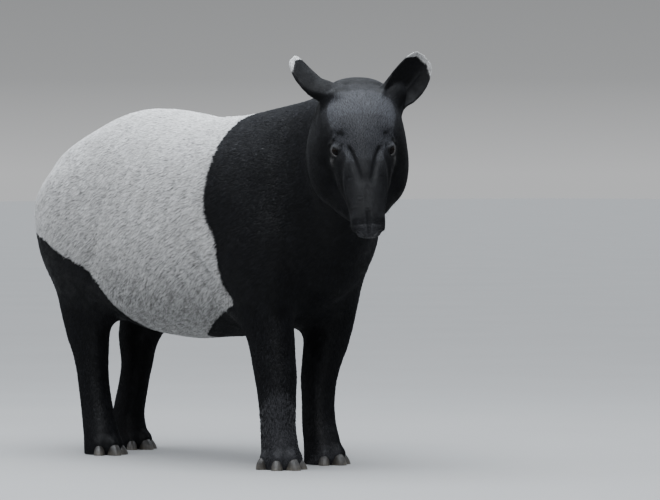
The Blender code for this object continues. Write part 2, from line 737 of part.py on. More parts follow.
def islands(ob):
    """Splits an object into its separate closed pieces, largest first."""
    bm = bmesh.new()
    bm.from_mesh(ob.data)
    bm.faces.ensure_lookup_table()
    left = set(bm.faces)
    groups = []
    while left:
        stack = [left.pop()]
        group = [stack[0]]
        while stack:
            f = stack.pop()
            for e in f.edges:
                for g in e.link_faces:
                    if g in left:
                        left.remove(g)
                        stack.append(g)
                        group.append(g)
        groups.append([f.index for f in group])
    bm.free()
    out = []
    for group in sorted(groups, key=len, reverse=True):
        keep = set(group)
        b2 = bmesh.new()
        b2.from_mesh(ob.data)
        bmesh.ops.delete(b2, geom=[f for f in b2.faces if f.index not in keep], context="FACES")
        if abs(b2.calc_volume()) > 1e-8:
            out.append(from_bmesh("piece", b2))
        else:
            b2.free()
    drop(ob)
    return out


def middle(ob):
    bm = bmesh.new()
    bm.from_mesh(ob.data)
    total, centre = 0.0, Vector()
    for f in bm.faces:
        area = f.calc_area()
        total += area
        centre += f.calc_center_median() * area
    bm.free()
    return np.array(centre / total)


def cut(ob, blades, names):
    """Cuts an object with thin blades; names maps each piece's name to a point in or near it."""
    bm = bmesh.new()
    for blade in blades:
        mesh = bpy.data.meshes.new("part")
        blade.to_mesh(mesh)
        blade.free()
        bm.from_mesh(mesh)
        bpy.data.meshes.remove(mesh)
    cutter = from_bmesh("blade", bm)
    boolean(ob, cutter, "DIFFERENCE")
    drop(cutter)
    pieces = islands(ob)
    at = [middle(p) for p in pieces]
    assert len(pieces) == len(names), (sorted(names), [tuple(a.round(3)) for a in at])
    out = {}
    for name, point in names.items():
        free = [i for i in range(len(pieces)) if pieces[i] not in out.values()]
        best = min(free, key=lambda i: np.linalg.norm(at[i] - np.array(point)))
        out[name] = pieces[best]
    return out


def body_solid(body):
    """Sections and balls joined, remeshed, and drawn onto the blended field."""
    bm = bmesh.new()
    for shape, _ in body.parts:
        b2 = bmesh.new()
        if isinstance(shape, Ball):
            bmesh.ops.create_icosphere(b2, subdivisions=3, radius=1)
            bmesh.ops.transform(b2, matrix=placed(shape.c, shape.r, shape.axes), verts=b2.verts)
        else:
            loft(b2, shape.rings())
        mesh = bpy.data.meshes.new("part")
        b2.to_mesh(mesh)
        b2.free()
        bm.from_mesh(mesh)
        bpy.data.meshes.remove(mesh)
    ob = from_bmesh("body", bm)
    mod = ob.modifiers.new("skin", "REMESH")
    mod.mode = "VOXEL"
    mod.voxel_size = VOXEL
    freeze(ob)
    pull(ob, body, 2)
    mod = ob.modifiers.new("even", "SMOOTH")
    mod.factor = 0.5
    mod.iterations = 2
    freeze(ob)
    pull(ob, body, 2)
    mod = ob.modifiers.new("light", "DECIMATE")
    mod.ratio = BODY_FACES / (2.0 * len(ob.data.polygons))
    freeze(ob)
    return ob


def pull(ob, field, rounds):
    count = len(ob.data.vertices)
    co = np.empty(count * 3, np.float32)
    ob.data.vertices.foreach_get("co", co)
    p = settle(field, co.reshape(-1, 3).astype(float), rounds=rounds)
    ob.data.vertices.foreach_set("co", p.astype(np.float32).ravel())
    ob.data.update()


def grown(ob, by):
    """A copy with every point moved outwards."""
    mesh = ob.data.copy()
    move = [(v.index, v.co + v.normal * by) for v in mesh.vertices]
    for i, co in move:
        mesh.vertices[i].co = co
    mesh.update()
    return add("grown", mesh)


body_field = Body(ends=False)
whole = body_solid(body_field)

# the ground plane: the feet are cut flat at floor level
bm = bmesh.new()
bmesh.ops.create_cube(bm, size=1, matrix=Matrix.Translation((0, 0, -0.5)) @ Matrix.Diagonal((3, 3, 1, 1)))
ground = from_bmesh("ground", bm)
boolean(whole, ground, "DIFFERENCE")

thick = grown(whole, GAP)
parts = {}

# ears: cupped leaves, their roots shaped to the skull
for side, tag in ((1, "left"), (-1, "right")):
    bm = loft(bmesh.new(), ear(side).rings(rows=11, cols=7))
    ob = from_bmesh("ear", bm)
    boolean(ob, thick, "DIFFERENCE")
    parts["ear_" + tag] = islands(ob)[0]

# tail: a short tapered stub, its root shaped to the rump
ob = from_bmesh("tail", loft(bmesh.new(), tail().rings(around=12)[::3]))
drop(thick)
thick = grown(whole, 4 * GAP)
boolean(ob, thick, "DIFFERENCE")
parts["tail"] = islands(ob)[0]
drop(thick)

# head and neck off the trunk
done = cut(whole, [disc((0.615, -0.060, 0.925), (0.85, -0.42, 0.34), 0.24)],
           {"head": on_head(0.22, 0, -0.03), "rest": (0, 0, 0.6)})
parts["head"] = done["head"]
done = cut(done["rest"], [disc((0.395, -0.004, 0.790), (0.90, -0.02, 0.42), 0.40)],
           {"neck": (0.55, -0.03, 0.87), "rest": (-0.1, 0, 0.6)})
parts["neck"] = done["neck"]

# limbs: bowls cut round the top of each
LIMB = {
    "fore_right": ((0.350, -0.158, 0.20), (0.190, 0.148, 0.40)),
    "fore_left": ((0.330, 0.145, 0.20), (0.170, 0.140, 0.40)),
    "hind_right": ((-0.460, -0.158, 0.20), (0.225, 0.150, 0.37)),
    "hind_left": ((-0.510, 0.148, 0.20), (0.225, 0.142, 0.37)),
}
names = {"rest": (-0.1, 0, 0.7)}
names.update({k: (c[0], c[1] * 0.8, 0.30) for k, (c, r) in LIMB.items()})
done = cut(done["rest"], [shell(c, r) for c, r in LIMB.values()], names)
limbs = {k: done[k] for k in LIMB}

# trunk: forequarters, saddle, hindquarters, tail
done = cut(done["rest"], [disc((0.225, 0, 0.74), (0.93, 0, 0.36), 0.60)],
           {"forequarters": (0.33, 0, 0.7), "rest": (-0.3, 0, 0.7)})
parts["forequarters"] = done["forequarters"]
parts.update(cut(done["rest"], [disc((-0.355, 0, 0.551), (0.42, 0, 0.907), 0.60)],
                 {"saddle": (-0.25, 0, 0.75), "hindquarters": (-0.45, 0, 0.55)}))

# each limb at its knee or hock and above its foot
LEVEL = {"fore_right": (0.37, -0.13, 0.272), "fore_left": (0.312, 0.112, 0.272),
         "hind_right": (-0.476, -0.128, 0.300), "hind_left": (-0.548, 0.112, 0.300)}
for k, limb in limbs.items():
    knee = LEVEL[k]
    foot = FEET[k]
    low = (foot[0] - 0.005, foot[1], 0.092)
    done = cut(limb, [disc(knee, (0, 0, 1), 0.13), disc(low, (0, 0, 1), 0.11)],
               {"upper": (knee[0], knee[1], 0.42), "lower": (knee[0], knee[1], 0.18), "foot": (foot[0], foot[1], 0.04)})
    parts["leg_%s_upper" % k] = done["upper"]
    parts["leg_%s_lower" % k] = done["lower"]
    parts["foot_" + k] = done["foot"]

# hooves, each in its own seat
for k in FEET:
    for n, toe in enumerate(toes(k), 1):
        centre, radii, axes = hoof(*toe)
        seat = ball_mesh("seat", centre, np.array(radii) + GAP, axes, HOOF_RES)
        boolean(parts["foot_" + k], seat, "DIFFERENCE")
        drop(seat)
        ob = ball_mesh("hoof", centre, radii, axes, HOOF_RES)
        boolean(ob, ground, "DIFFERENCE")
        parts["hoof_%s_%d" % (k, n)] = ob
    pieces = islands(parts["foot_" + k])
    parts["foot_" + k] = pieces[0]
    drop(*pieces[1:])

# muzzle, and eyes in their sockets
done = cut(parts["head"], [disc(on_head(0.385, 0, -0.03), HEAD[0] + 0.15 * HEAD[2], 0.16)],
           {"head": on_head(0.18, 0, -0.03), "muzzle": on_head(0.45, 0, -0.02)})
parts.update(done)
for side, tag in ((1, "left"), (-1, "right")):
    centre = eye(side, body_field)[0]
    socket = ball_mesh("socket", centre, (EYE_R + GAP,) * 3, HEAD, (14, 9))
    boolean(parts["head"], socket, "DIFFERENCE")
    drop(socket)
    parts["eye_" + tag] = ball_mesh("eye", centre, (EYE_R,) * 3, HEAD, (14, 9))
drop(ground)

# tidy up, name, colour, and centre on the floor
WHITE_NODES = ("saddle", "tail")
for name, ob in parts.items():
    bm = bmesh.new()
    bm.from_mesh(ob.data)
    bmesh.ops.remove_doubles(bm, verts=bm.verts, dist=0.00005)
    bmesh.ops.dissolve_degenerate(bm, edges=bm.edges, dist=0.00005)
    bmesh.ops.triangulate(bm, faces=bm.faces)
    bmesh.ops.recalc_face_normals(bm, faces=bm.faces)
    bm.to_mesh(ob.data)
    bm.free()
    ob.name = name
    ob.data.name = name
    kind = "eyeball" if name.startswith("eye_") else "hoof_horn" if name.startswith("hoof_") else (
        "white_coat" if name in WHITE_NODES else "black_coat")
    ob.data.materials.clear()
    ob.data.materials.append(MAT[kind])
    for poly in ob.data.polygons:
        poly.material_index = 0

points = np.array([tuple(v.co) for ob in parts.values() for v in ob.data.vertices])
low, high = points.min(0), points.max(0)
shift = Matrix.Translation((-(low[0] + high[0]) / 2, -(low[1] + high[1]) / 2, 0.0))
for ob in parts.values():
    ob.data.transform(shift)
    ob.data.shade_smooth()
    ob.data.set_sharp_from_angle(angle=math.radians(50))
    ob.data.update()
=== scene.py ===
"""A life-size malayan tapir, standing: one skin, its coat in tufts, eyes and hooves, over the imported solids."""
import math
import time

import bmesh
import bpy
import numpy as np
from mathutils import Matrix, Vector
from mathutils.bvhtree import BVHTree


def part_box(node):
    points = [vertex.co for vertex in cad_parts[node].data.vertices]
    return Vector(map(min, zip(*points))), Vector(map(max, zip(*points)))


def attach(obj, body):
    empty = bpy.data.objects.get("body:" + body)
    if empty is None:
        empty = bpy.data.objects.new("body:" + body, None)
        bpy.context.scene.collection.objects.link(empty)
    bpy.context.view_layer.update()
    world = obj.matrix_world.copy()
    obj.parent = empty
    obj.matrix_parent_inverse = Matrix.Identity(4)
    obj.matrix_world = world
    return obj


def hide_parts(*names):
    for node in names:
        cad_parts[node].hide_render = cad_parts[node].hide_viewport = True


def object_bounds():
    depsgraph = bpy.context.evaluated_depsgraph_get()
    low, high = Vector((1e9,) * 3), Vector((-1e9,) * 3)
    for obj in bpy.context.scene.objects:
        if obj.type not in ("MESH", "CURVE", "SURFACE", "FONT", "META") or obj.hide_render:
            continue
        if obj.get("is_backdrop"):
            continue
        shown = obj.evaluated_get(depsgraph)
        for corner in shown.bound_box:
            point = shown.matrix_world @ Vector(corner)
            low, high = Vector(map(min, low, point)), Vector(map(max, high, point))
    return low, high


# ---- shape of the animal, as a blended field built from named sections ----

# heights and lengths in metres; +X towards the head, +Y to the animal's left, +Z up, floor at 0
RUMP_Z, DIP_Z = 1.051, 1.015
BELLY_Z, CHEST_Z = 0.366, 0.418
HEAD_YAW, HEAD_PITCH, HEAD_ROLL = -36.0, -45.0, 2.0
HEAD_AT = (0.657, -0.066, 1.057)
MUZZLE_FROM, MUZZLE = 0.300, 0.880
EYE_A, EYE_B, EYE_R, EYE_OUT = 0.246, 0.046, 0.0165, 0.0048
COAT = 0.004


def unit(v):
    v = np.asarray(v, float)
    return v / np.linalg.norm(v, axis=-1, keepdims=True)


def catmull(rows, count):
    """Smooth curve through rows, evenly spread in each gap."""
    rows = np.asarray(rows, float)
    p = np.vstack([2 * rows[0] - rows[1], rows, 2 * rows[-1] - rows[-2]])
    n = len(rows) - 1
    t = np.linspace(0, n, count)
    i = np.minimum(t.astype(int), n - 1)
    u = (t - i)[:, None]
    a, b, c, d = p[i], p[i + 1], p[i + 2], p[i + 3]
    return 0.5 * (2 * b + (c - a) * u + (2 * a - 5 * b + 4 * c - d) * u**2 + (3 * b - a - 3 * c + d) * u**3)


def smin(a, b, k):
    h = np.clip(0.5 + 0.5 * (b - a) / k, 0, 1)
    return b * (1 - h) + a * h - k * h * (1 - h)


def smax(a, b, k):
    return -smin(-a, -b, k)


def step(x, lo, hi):
    t = np.clip((x - lo) / (hi - lo), 0, 1)
    return t * t * (3 - 2 * t)


class Tube:
    """A loft along a bent spine. Rows: x, y, z, half width, rise, drop, squareness."""

    def __init__(self, rows, up, caps=(0.05, 0.05), samples=56):
        s = catmull(rows, samples)
        self.c = s[:, :3]
        self.par = np.clip(s[:, 3:], 1e-3, None)
        t = unit(np.gradient(self.c, axis=0))
        self.t = t
        self.side = unit(np.cross(np.asarray(up, float), t))
        self.up = np.cross(t, self.side)
        self.caps = caps
        step_len = np.linalg.norm(np.gradient(self.c, axis=0), axis=1)
        mean = (self.par[:, 0] * 2 + self.par[:, 1] + self.par[:, 2]) / 4
        self.slope = np.clip(np.abs(np.gradient(mean)) / step_len, 0, 2.5)
        r = self.par[:, :3].max(1)
        self.lo = (self.c - r[:, None]).min(0) - max(caps)
        self.hi = (self.c + r[:, None]).max(0) + max(caps)

    def locate(self, p):
        """(index, share along the gap, overshoot at the ends) of the nearest spine point."""
        c = self.c
        d2 = (c**2).sum(1)[None] - 2 * p @ c.T
        i = np.clip(d2.argmin(1), 0, len(c) - 1)
        best = None
        for j0 in (-1, 0):
            j = np.clip(i + j0, 0, len(c) - 2)
            a = c[j]
            ab = c[j + 1] - a
            u = ((p - a) * ab).sum(1) / (ab**2).sum(1)
            uc = np.clip(u, 0, 1)
            q = p - (a + uc[:, None] * ab)
            dist = (q**2).sum(1)
            over = np.where((j == 0) & (u < 0), u, 0) + np.where((j == len(c) - 2) & (u > 1), u - 1, 0)
            over = over * np.sqrt((ab**2).sum(1))
            if best is None:
                best = [j, uc, dist, over]
            else:
                m = dist < best[2]
                for k, v in enumerate((j, uc, dist, over)):
                    best[k] = np.where(m, v, best[k])
        return best[0], best[1], best[3]

    def at(self, table, j, u):
        return table[j] * (1 - u[:, None]) + table[j + 1] * u[:, None]

    def __call__(self, p):
        j, u, over = self.locate(p)
        q = p - self.at(self.c, j, u)
        y = (q * self.at(self.side, j, u)).sum(1)
        z = (q * self.at(self.up, j, u)).sum(1)
        w, rise, drop, n = self.at(self.par, j, u).T
        h = np.where(z > 0, rise, drop)
        rho = np.hypot(y, z) + 1e-9
        r = ((np.abs(y) / rho / w) ** n + (np.abs(z) / rho / h) ** n) ** (-1 / n)
        cap = np.where(over < 0, self.caps[0], self.caps[1])
        x = np.abs(over) * r / cap
        s = self.slope[j] * (1 - u) + self.slope[j + 1] * u
        return (np.hypot(rho, x) - r) / np.sqrt(1 + s * s)

    def rings(self, around=28):
        """Rows of points on the surface, for a loft."""
        a = np.linspace(0, 2 * math.pi, around, endpoint=False)
        cy, cz = np.cos(a), np.sin(a)
        out = []

        def ring(k, shrink=1.0, push=0.0):
            w, rise, drop, n = self.par[k]
            h = np.where(cz > 0, rise, drop)
            r = ((np.abs(cy) / w) ** n + (np.abs(cz) / h) ** n) ** (-1 / n) * shrink
            c = self.c[k] + self.t[k] * push
            return c + np.outer(r * cy, self.side[k]) + np.outer(r * cz, self.up[k])

        for s in (0.35, 0.7, 0.92):
            out.append(ring(0, s, -self.caps[0] * math.sqrt(1 - s * s)))
        out += [ring(k) for k in range(len(self.c))]
        for s in (0.92, 0.7, 0.35):
            out.append(ring(-1, s, self.caps[1] * math.sqrt(1 - s * s)))
        return np.array(out)


class Ball:
    """An ellipsoid with its own axes."""

    def __init__(self, centre, radii, axes=None):
        self.c = np.asarray(centre, float)
        self.r = np.asarray(radii, float)
        self.axes = np.eye(3) if axes is None else unit(np.asarray(axes, float))
        m = self.r.max()
        self.lo, self.hi = self.c - m, self.c + m

    def __call__(self, p):
        q = (p - self.c) @ self.axes.T
        k0 = np.linalg.norm(q / self.r, axis=1) + 1e-9
        k1 = np.linalg.norm(q / self.r**2, axis=1) + 1e-9
        return k0 * (k0 - 1) / k1


def head_axes():
    ya, pi, ro = (math.radians(v) for v in (HEAD_YAW, HEAD_PITCH, HEAD_ROLL))
    fwd = np.array([math.cos(pi) * math.cos(ya), math.cos(pi) * math.sin(ya), math.sin(pi)])
    left = np.array([-math.sin(ya), math.cos(ya), 0.0])
    up = np.cross(fwd, left)
    l2 = left * math.cos(ro) + up * math.sin(ro)
    u2 = up * math.cos(ro) - left * math.sin(ro)
    return np.array([fwd, l2, u2])


HEAD = head_axes()


def on_head(a, w, b):
    """A point of the head: a along it, w to its left, b up. The muzzle is drawn in by its own share."""
    a = a - max(a - MUZZLE_FROM, 0.0) * (1 - MUZZLE)
    return np.array(HEAD_AT) + np.array([a, w, b]) @ HEAD


def in_head(p):
    h = (p - np.array(HEAD_AT)) @ HEAD.T
    h[:, 0] += np.maximum(h[:, 0] - MUZZLE_FROM, 0.0) * (1 / MUZZLE - 1)
    return h


def upright(table):
    """Rows of x, y, level, half width, top z, bottom z, squareness to spine rows."""
    return [(x, y, z, w, t - z, z - b, n) for x, y, z, w, t, b, n in table]


def trunk():
    rows = upright([
        (-0.750, 0, 0.768, 0.066, 0.820, 0.700, 2.2),
        (-0.722, 0, 0.766, 0.119, 0.863, 0.645, 2.2),
        (-0.675, 0, 0.760, 0.171, 0.911, 0.592, 2.25),
        (-0.600, 0, 0.748, 0.211, 0.963, 0.540, 2.3),
        (-0.500, 0, 0.728, 0.252, 1.015, 0.480, 2.3),
        (-0.380, 0, 0.706, 0.270, RUMP_Z, 0.415, 2.25),
        (-0.240, 0, 0.684, 0.283, 1.042, 0.375, 2.2),
        (-0.100, 0, 0.662, 0.290, 1.023, 0.358, 2.2),
        (0.040, 0, 0.652, 0.286, DIP_Z, BELLY_Z, 2.2),
        (0.170, 0, 0.662, 0.266, 1.008, 0.384, 2.15),
        (0.290, 0, 0.680, 0.235, 1.006, CHEST_Z, 2.1),
        (0.390, 0, 0.690, 0.198, 0.985, 0.462, 2.1),
        (0.470, 0, 0.690, 0.156, 0.930, 0.515, 2.0),
    ])
    return Tube(rows, (0, 0, 1), caps=(0.012, 0.075), samples=110)


def neck():
    rows = upright([
        (0.120, 0.000, 0.740, 0.150, 0.980, 0.480, 2.0),
        (0.240, 0.000, 0.760, 0.165, 1.012, 0.460, 2.0),
        (0.360, 0.000, 0.790, 0.160, 1.047, 0.490, 2.0),
        (0.460, -0.008, 0.830, 0.148, 1.076, 0.560, 2.0),
        (0.545, -0.030, 0.870, 0.136, 1.100, 0.640, 2.0),
        (0.615, -0.062, 0.905, 0.124, 1.095, 0.710, 2.0),
        (0.665, -0.095, 0.930, 0.112, 1.075, 0.760, 2.0),
    ])
    return Tube(rows, (0, 0, 1), caps=(0.1, 0.08), samples=64)


def along_head(table):
    """Rows of a, level, half width, top, bottom, squareness to spine rows."""
    out = []
    for a, c, w, t, b, n in table:
        x, y, z = on_head(a, 0, c)
        out.append((x, y, z, w, t - c, c - b, n))
    return out


def skull():
    rows = along_head([
        (0.010, 0.000, 0.106, 0.077, -0.090, 2.2),
        (0.065, 0.000, 0.116, 0.105, -0.110, 2.3),
        (0.125, 0.000, 0.124, 0.120, -0.110, 2.2),
        (0.190, 0.000, 0.116, 0.116, -0.100, 2.25),
        (0.250, 0.000, 0.091, 0.096, -0.090, 2.3),
        (0.305, 0.000, 0.076, 0.070, -0.080, 2.3),
        (0.360, -0.005, 0.063, 0.050, -0.070, 2.35),
        (0.412, -0.012, 0.054, 0.035, -0.066, 2.4),
        (0.458, -0.018, 0.049, 0.022, -0.062, 2.5),
        (0.484, -0.025, 0.047, 0.011, -0.058, 2.4),
        (0.502, -0.030, 0.045, 0.000, -0.054, 2.1),
    ])
    return Tube(rows, HEAD[2], caps=(0.07, 0.028), samples=80)


def jaw():
    rows = along_head([
        (0.080, -0.090, 0.092, -0.010, -0.150, 2.2),
        (0.150, -0.095, 0.113, -0.020, -0.180, 2.3),
        (0.220, -0.095, 0.112, -0.030, -0.182, 2.4),
        (0.285, -0.092, 0.095, -0.040, -0.170, 2.4),
        (0.340, -0.088, 0.068, -0.045, -0.146, 2.3),
        (0.385, -0.084, 0.044, -0.050, -0.118, 2.2),
        (0.412, -0.082, 0.028, -0.060, -0.104, 2.0),
    ])
    return Tube(rows, HEAD[2], caps=(0.06, 0.018), samples=48)


def cheek(s):
    return Ball(on_head(0.165, s * 0.088, -0.085), (0.108, 0.048, 0.088), HEAD)


def leg(side, rows):
    return Tube([(x, side * y, z, w, f, b, n) for x, y, z, w, f, b, n in rows], (1, 0, 0), caps=(0.06, 0.03), samples=72)


def foreleg(side):
    # x, y, z, half width, reach to the front, reach to the back, squareness
    lower = {
        -1: [(0.348, 0.148, 0.570, 0.090, 0.118, 0.127, 2.0),
             (0.346, 0.143, 0.470, 0.076, 0.098, 0.105, 2.0),
             (0.364, 0.135, 0.385, 0.062, 0.078, 0.078, 2.1),
             (0.379, 0.130, 0.280, 0.058, 0.065, 0.065, 2.2),
             (0.387, 0.128, 0.190, 0.052, 0.056, 0.057, 2.2),
             (0.390, 0.127, 0.115, 0.049, 0.052, 0.055, 2.2),
             (0.397, 0.127, 0.060, 0.050, 0.054, 0.057, 2.3),
             (0.402, 0.127, 0.012, 0.053, 0.054, 0.060, 2.4)],
        1: [(0.312, 0.137, 0.570, 0.083, 0.115, 0.128, 2.0),
            (0.314, 0.137, 0.470, 0.073, 0.096, 0.107, 2.0),
            (0.316, 0.128, 0.385, 0.064, 0.076, 0.079, 2.1),
            (0.302, 0.112, 0.280, 0.052, 0.058, 0.061, 2.2),
            (0.301, 0.104, 0.190, 0.046, 0.050, 0.053, 2.2),
            (0.309, 0.101, 0.115, 0.047, 0.050, 0.053, 2.2),
            (0.323, 0.100, 0.060, 0.049, 0.053, 0.057, 2.3),
            (0.330, 0.100, 0.012, 0.052, 0.054, 0.060, 2.4)],
    }[side]
    upper = [
        (0.330, 0.120, 0.820, 0.050, 0.100, 0.100, 2.0),
        (0.345, 0.134, 0.690, 0.080, 0.122, 0.130, 2.0),
    ]
    return leg(side, upper + lower)


def hindleg(side):
    lower = {
        -1: [(-0.467, 0.142, 0.640, 0.101, 0.146, 0.194, 2.1),
             (-0.467, 0.140, 0.530, 0.088, 0.126, 0.157, 2.0),
             (-0.483, 0.135, 0.430, 0.066, 0.092, 0.110, 2.0),
             (-0.480, 0.132, 0.350, 0.054, 0.066, 0.080, 2.1),
             (-0.472, 0.128, 0.262, 0.046, 0.050, 0.054, 2.2),
             (-0.464, 0.124, 0.180, 0.045, 0.048, 0.051, 2.2),
             (-0.451, 0.122, 0.110, 0.046, 0.051, 0.054, 2.2),
             (-0.436, 0.122, 0.055, 0.050, 0.054, 0.057, 2.3),
             (-0.429, 0.122, 0.012, 0.052, 0.055, 0.059, 2.4)],
        1: [(-0.478, 0.142, 0.640, 0.105, 0.147, 0.197, 2.1),
            (-0.485, 0.140, 0.530, 0.095, 0.127, 0.163, 2.0),
            (-0.524, 0.130, 0.430, 0.074, 0.096, 0.114, 2.0),
            (-0.548, 0.118, 0.350, 0.058, 0.064, 0.078, 2.1),
            (-0.549, 0.106, 0.262, 0.046, 0.048, 0.053, 2.2),
            (-0.563, 0.100, 0.180, 0.044, 0.047, 0.050, 2.2),
            (-0.580, 0.098, 0.110, 0.046, 0.050, 0.053, 2.2),
            (-0.576, 0.098, 0.055, 0.049, 0.054, 0.058, 2.3),
            (-0.569, 0.098, 0.012, 0.051, 0.055, 0.060, 2.4)],
    }[side]
    upper = [
        (-0.470, 0.110, 0.850, 0.070, 0.095, 0.110, 2.0),
        (-0.465, 0.140, 0.755, 0.108, 0.157, 0.200, 2.1),
    ]
    return leg(side, upper + lower)


def tail():
    rows = [
        (-0.700, 0, 0.862, 0.040, 0.034, 0.034, 2.0),
        (-0.742, 0, 0.836, 0.031, 0.026, 0.026, 2.0),
        (-0.766, 0, 0.797, 0.024, 0.020, 0.020, 2.0),
        (-0.778, 0, 0.754, 0.018, 0.015, 0.015, 2.0),
        (-0.780, 0, 0.722, 0.012, 0.010, 0.010, 2.0),
    ]
    return Tube(rows, (0, 0, 1), caps=(0.03, 0.010), samples=20)


# toes: side (1 outer), angle from the front, reach, height, size
FORE_TOES = ((0, 0.076, 0.0, 1.00), (-44, 0.068, 0.0, 0.88), (46, 0.070, 0.0, 0.90), (104, 0.066, 0.012, 0.66))
HIND_TOES = ((0, 0.080, 0.0, 1.00), (-42, 0.069, 0.0, 0.88), (42, 0.071, 0.0, 0.90))
FEET = {
    "fore_right": (0.398, -0.127, -1, 4.0, FORE_TOES),
    "fore_left": (0.326, 0.100, 1, 6.0, FORE_TOES),
    "hind_right": (-0.433, -0.122, -1, 5.0, HIND_TOES),
    "hind_left": (-0.572, 0.098, 1, 8.0, HIND_TOES),
}


def toes(name):
    """Centre, outward axis, height and size of each toe of a foot."""
    x, y, side, turn, table = FEET[name]
    out = []
    for angle, reach, z, size in table:
        t = math.radians(side * (angle + turn))
        d = np.array([math.cos(t), math.sin(t), 0.0])
        out.append((np.array([x, y, 0.0]) + d * reach, d, z, size))
    return out


def toe_flesh(name):
    out = []
    for c, d, z, size in toes(name):
        side = np.array([-d[1], d[0], 0.0])
        axes = [d, side, (0, 0, 1)]
        out.append(Ball(c - d * 0.034 * size + np.array([0, 0, z + 0.032 * size]), (0.031 * size, 0.0205 * size, 0.030 * size), axes))
    return out


def hoof(c, d, z, size):
    """Ellipsoid of a hoof before it is cut flat: centre, radii, axes."""
    side = np.array([-d[1], d[0], 0.0])
    tip = np.array([0, 0, 1.0]) - 0.35 * d
    axes = np.array([np.cross(side, unit(tip)), side, unit(tip)])
    return c - d * 0.013 * size + np.array([0, 0, z]), (0.025 * size, 0.0185 * size, 0.042 * size), axes


class Ear:
    """A cupped leaf: length along its first axis, opening along its third."""

    LONG = (-0.45, -0.1, 0.1, 0.3, 0.5, 0.65, 0.78, 0.88, 0.95, 1.0)
    WIDE = (0.58, 0.76, 0.92, 1.00, 0.97, 0.90, 0.79, 0.66, 0.48, 0.0)

    def __init__(self, base, towards, opening, size=(0.146, 0.055), bow=0.0, curl=0.55, thick=0.0036):
        a = unit(np.asarray(towards, float))
        n = np.asarray(opening, float)
        n = unit(n - a * (n @ a))
        self.axes = np.array([a, np.cross(n, a), n])
        self.base = np.asarray(base, float)
        self.size, self.bow, self.curl, self.thick = size, bow, curl, thick
        self.lo, self.hi = self.base - 0.17, self.base + 0.17

    def bend(self, t):
        """How far the middle of the leaf stands to one side."""
        t = np.clip(t, 0, 1)
        return self.bow * 4 * t * (1 - t)

    def local(self, p):
        q = (p - self.base) @ self.axes.T
        q[:, 1] -= self.bend(q[:, 0] / self.size[0])
        return q

    def half(self, t):
        return self.size[1] * np.interp(t, self.LONG, self.WIDE)

    def mid(self, t, v):
        h = self.half(t)
        roll = self.curl * (1.25 - 0.7 * np.clip(t, 0, 1))
        return h * roll * v * v - 0.020 * (1 - np.clip(t, -0.3, 1)) ** 2 + 0.004

    def __call__(self, p):
        l, w, n = self.local(p).T
        t = l / self.size[0]
        h = np.maximum(self.half(t), 0.004)
        v = np.clip(w / h, -1.25, 1.25)
        slope = 2 * self.curl * (1.25 - 0.7 * np.clip(t, 0, 1)) * v
        th = self.thick + 0.006 * (1 - step(t, -0.1, 0.35))
        sheet = np.abs(n - self.mid(t, v)) / np.sqrt(1 + slope**2) - th
        dh = (self.half(t + 0.02) - self.half(t - 0.02)) / (0.04 * self.size[0])
        rim = (np.abs(w) - self.half(t)) / np.sqrt(1 + dh**2)
        rim = np.maximum(rim, l - self.size[0])
        rim = smax(rim, -l - 0.055, 0.01)
        return smax(sheet, rim, 0.005)

    def rings(self, rows=16, cols=13):
        """Front and back sheets as closed rings along the ear, for a loft."""
        out = []
        for t in np.linspace(-0.3, 0.985, rows):
            h = max(self.half(t), 0.003)
            th = self.thick + 0.006 * (1 - step(t, -0.1, 0.35))
            v = np.linspace(-1, 1, cols)
            mid = self.mid(t, v)
            edge = np.sqrt(np.clip(1 - v**8, 0.05, 1))
            across = v * h + self.bend(t)
            front = np.stack([np.full(cols, t * self.size[0]), across, mid + th * edge], 1)
            back = np.stack([np.full(cols, t * self.size[0]), across, mid - th * edge], 1)[::-1]
            out.append(np.vstack([front, back]) @ self.axes + self.base)
        return np.array(out)


EARS = {
    # side: base (head frame), direction, opening, both in the world, bow
    1: ((0.052, 0.100, 0.066), (0.22, 0.61, 0.82), (0.93, -0.45, -0.15), -0.003),
    -1: ((0.041, -0.087, 0.074), (-0.62, -0.28, 0.72), (-0.88, -0.28, -0.12), 0.0),
}


def ear(side):
    base, towards, opening, bow = EARS[side]
    return Ear(on_head(*base), towards, opening, bow=bow)


def ear_root(side):
    """The thick foot of an ear, sunk in the crown."""
    e = ear(side)
    return Ball(e.base - e.axes[0] * 0.008, (0.044, 0.034, 0.028), e.axes)


def eye(side, body):
    """Centre of an eyeball, set into the face by its own share."""
    lo, hi = 0.05, 0.14
    for _ in range(30):
        w = (lo + hi) / 2
        if body(on_head(EYE_A, side * w, EYE_B)[None])[0] > 0:
            hi = w
        else:
            lo = w
    return on_head(EYE_A, side * (w - EYE_R + EYE_OUT), EYE_B), on_head(EYE_A, side * w, EYE_B)


class Stroke:
    """A raised (or with a negative lift, carved) line under the skin."""

    def __init__(self, points, radius, lift, taper=0.0):
        self.p = np.asarray(points, float).reshape(-1, 3)
        self.radius, self.lift, self.taper = radius, lift, taper
        self.lo, self.hi = self.p.min(0) - 2.6 * radius, self.p.max(0) + 2.6 * radius

    def __call__(self, q):
        best = ((q - self.p[0]) ** 2).sum(1)
        share = np.zeros(len(q))
        for i, (a, b) in enumerate(zip(self.p, self.p[1:])):
            ab = b - a
            u = np.clip((q - a) @ ab / (ab @ ab), 0, 1)
            d = ((q - a - u[:, None] * ab) ** 2).sum(1)
            share = np.where(d < best, (i + u) / (len(self.p) - 1), share)
            best = np.minimum(best, d)
        lift = self.lift * np.exp(-best / self.radius**2)
        if self.taper and len(self.p) > 1:
            lift = lift * step(np.minimum(share, 1 - share), 0.0, self.taper)
        return lift


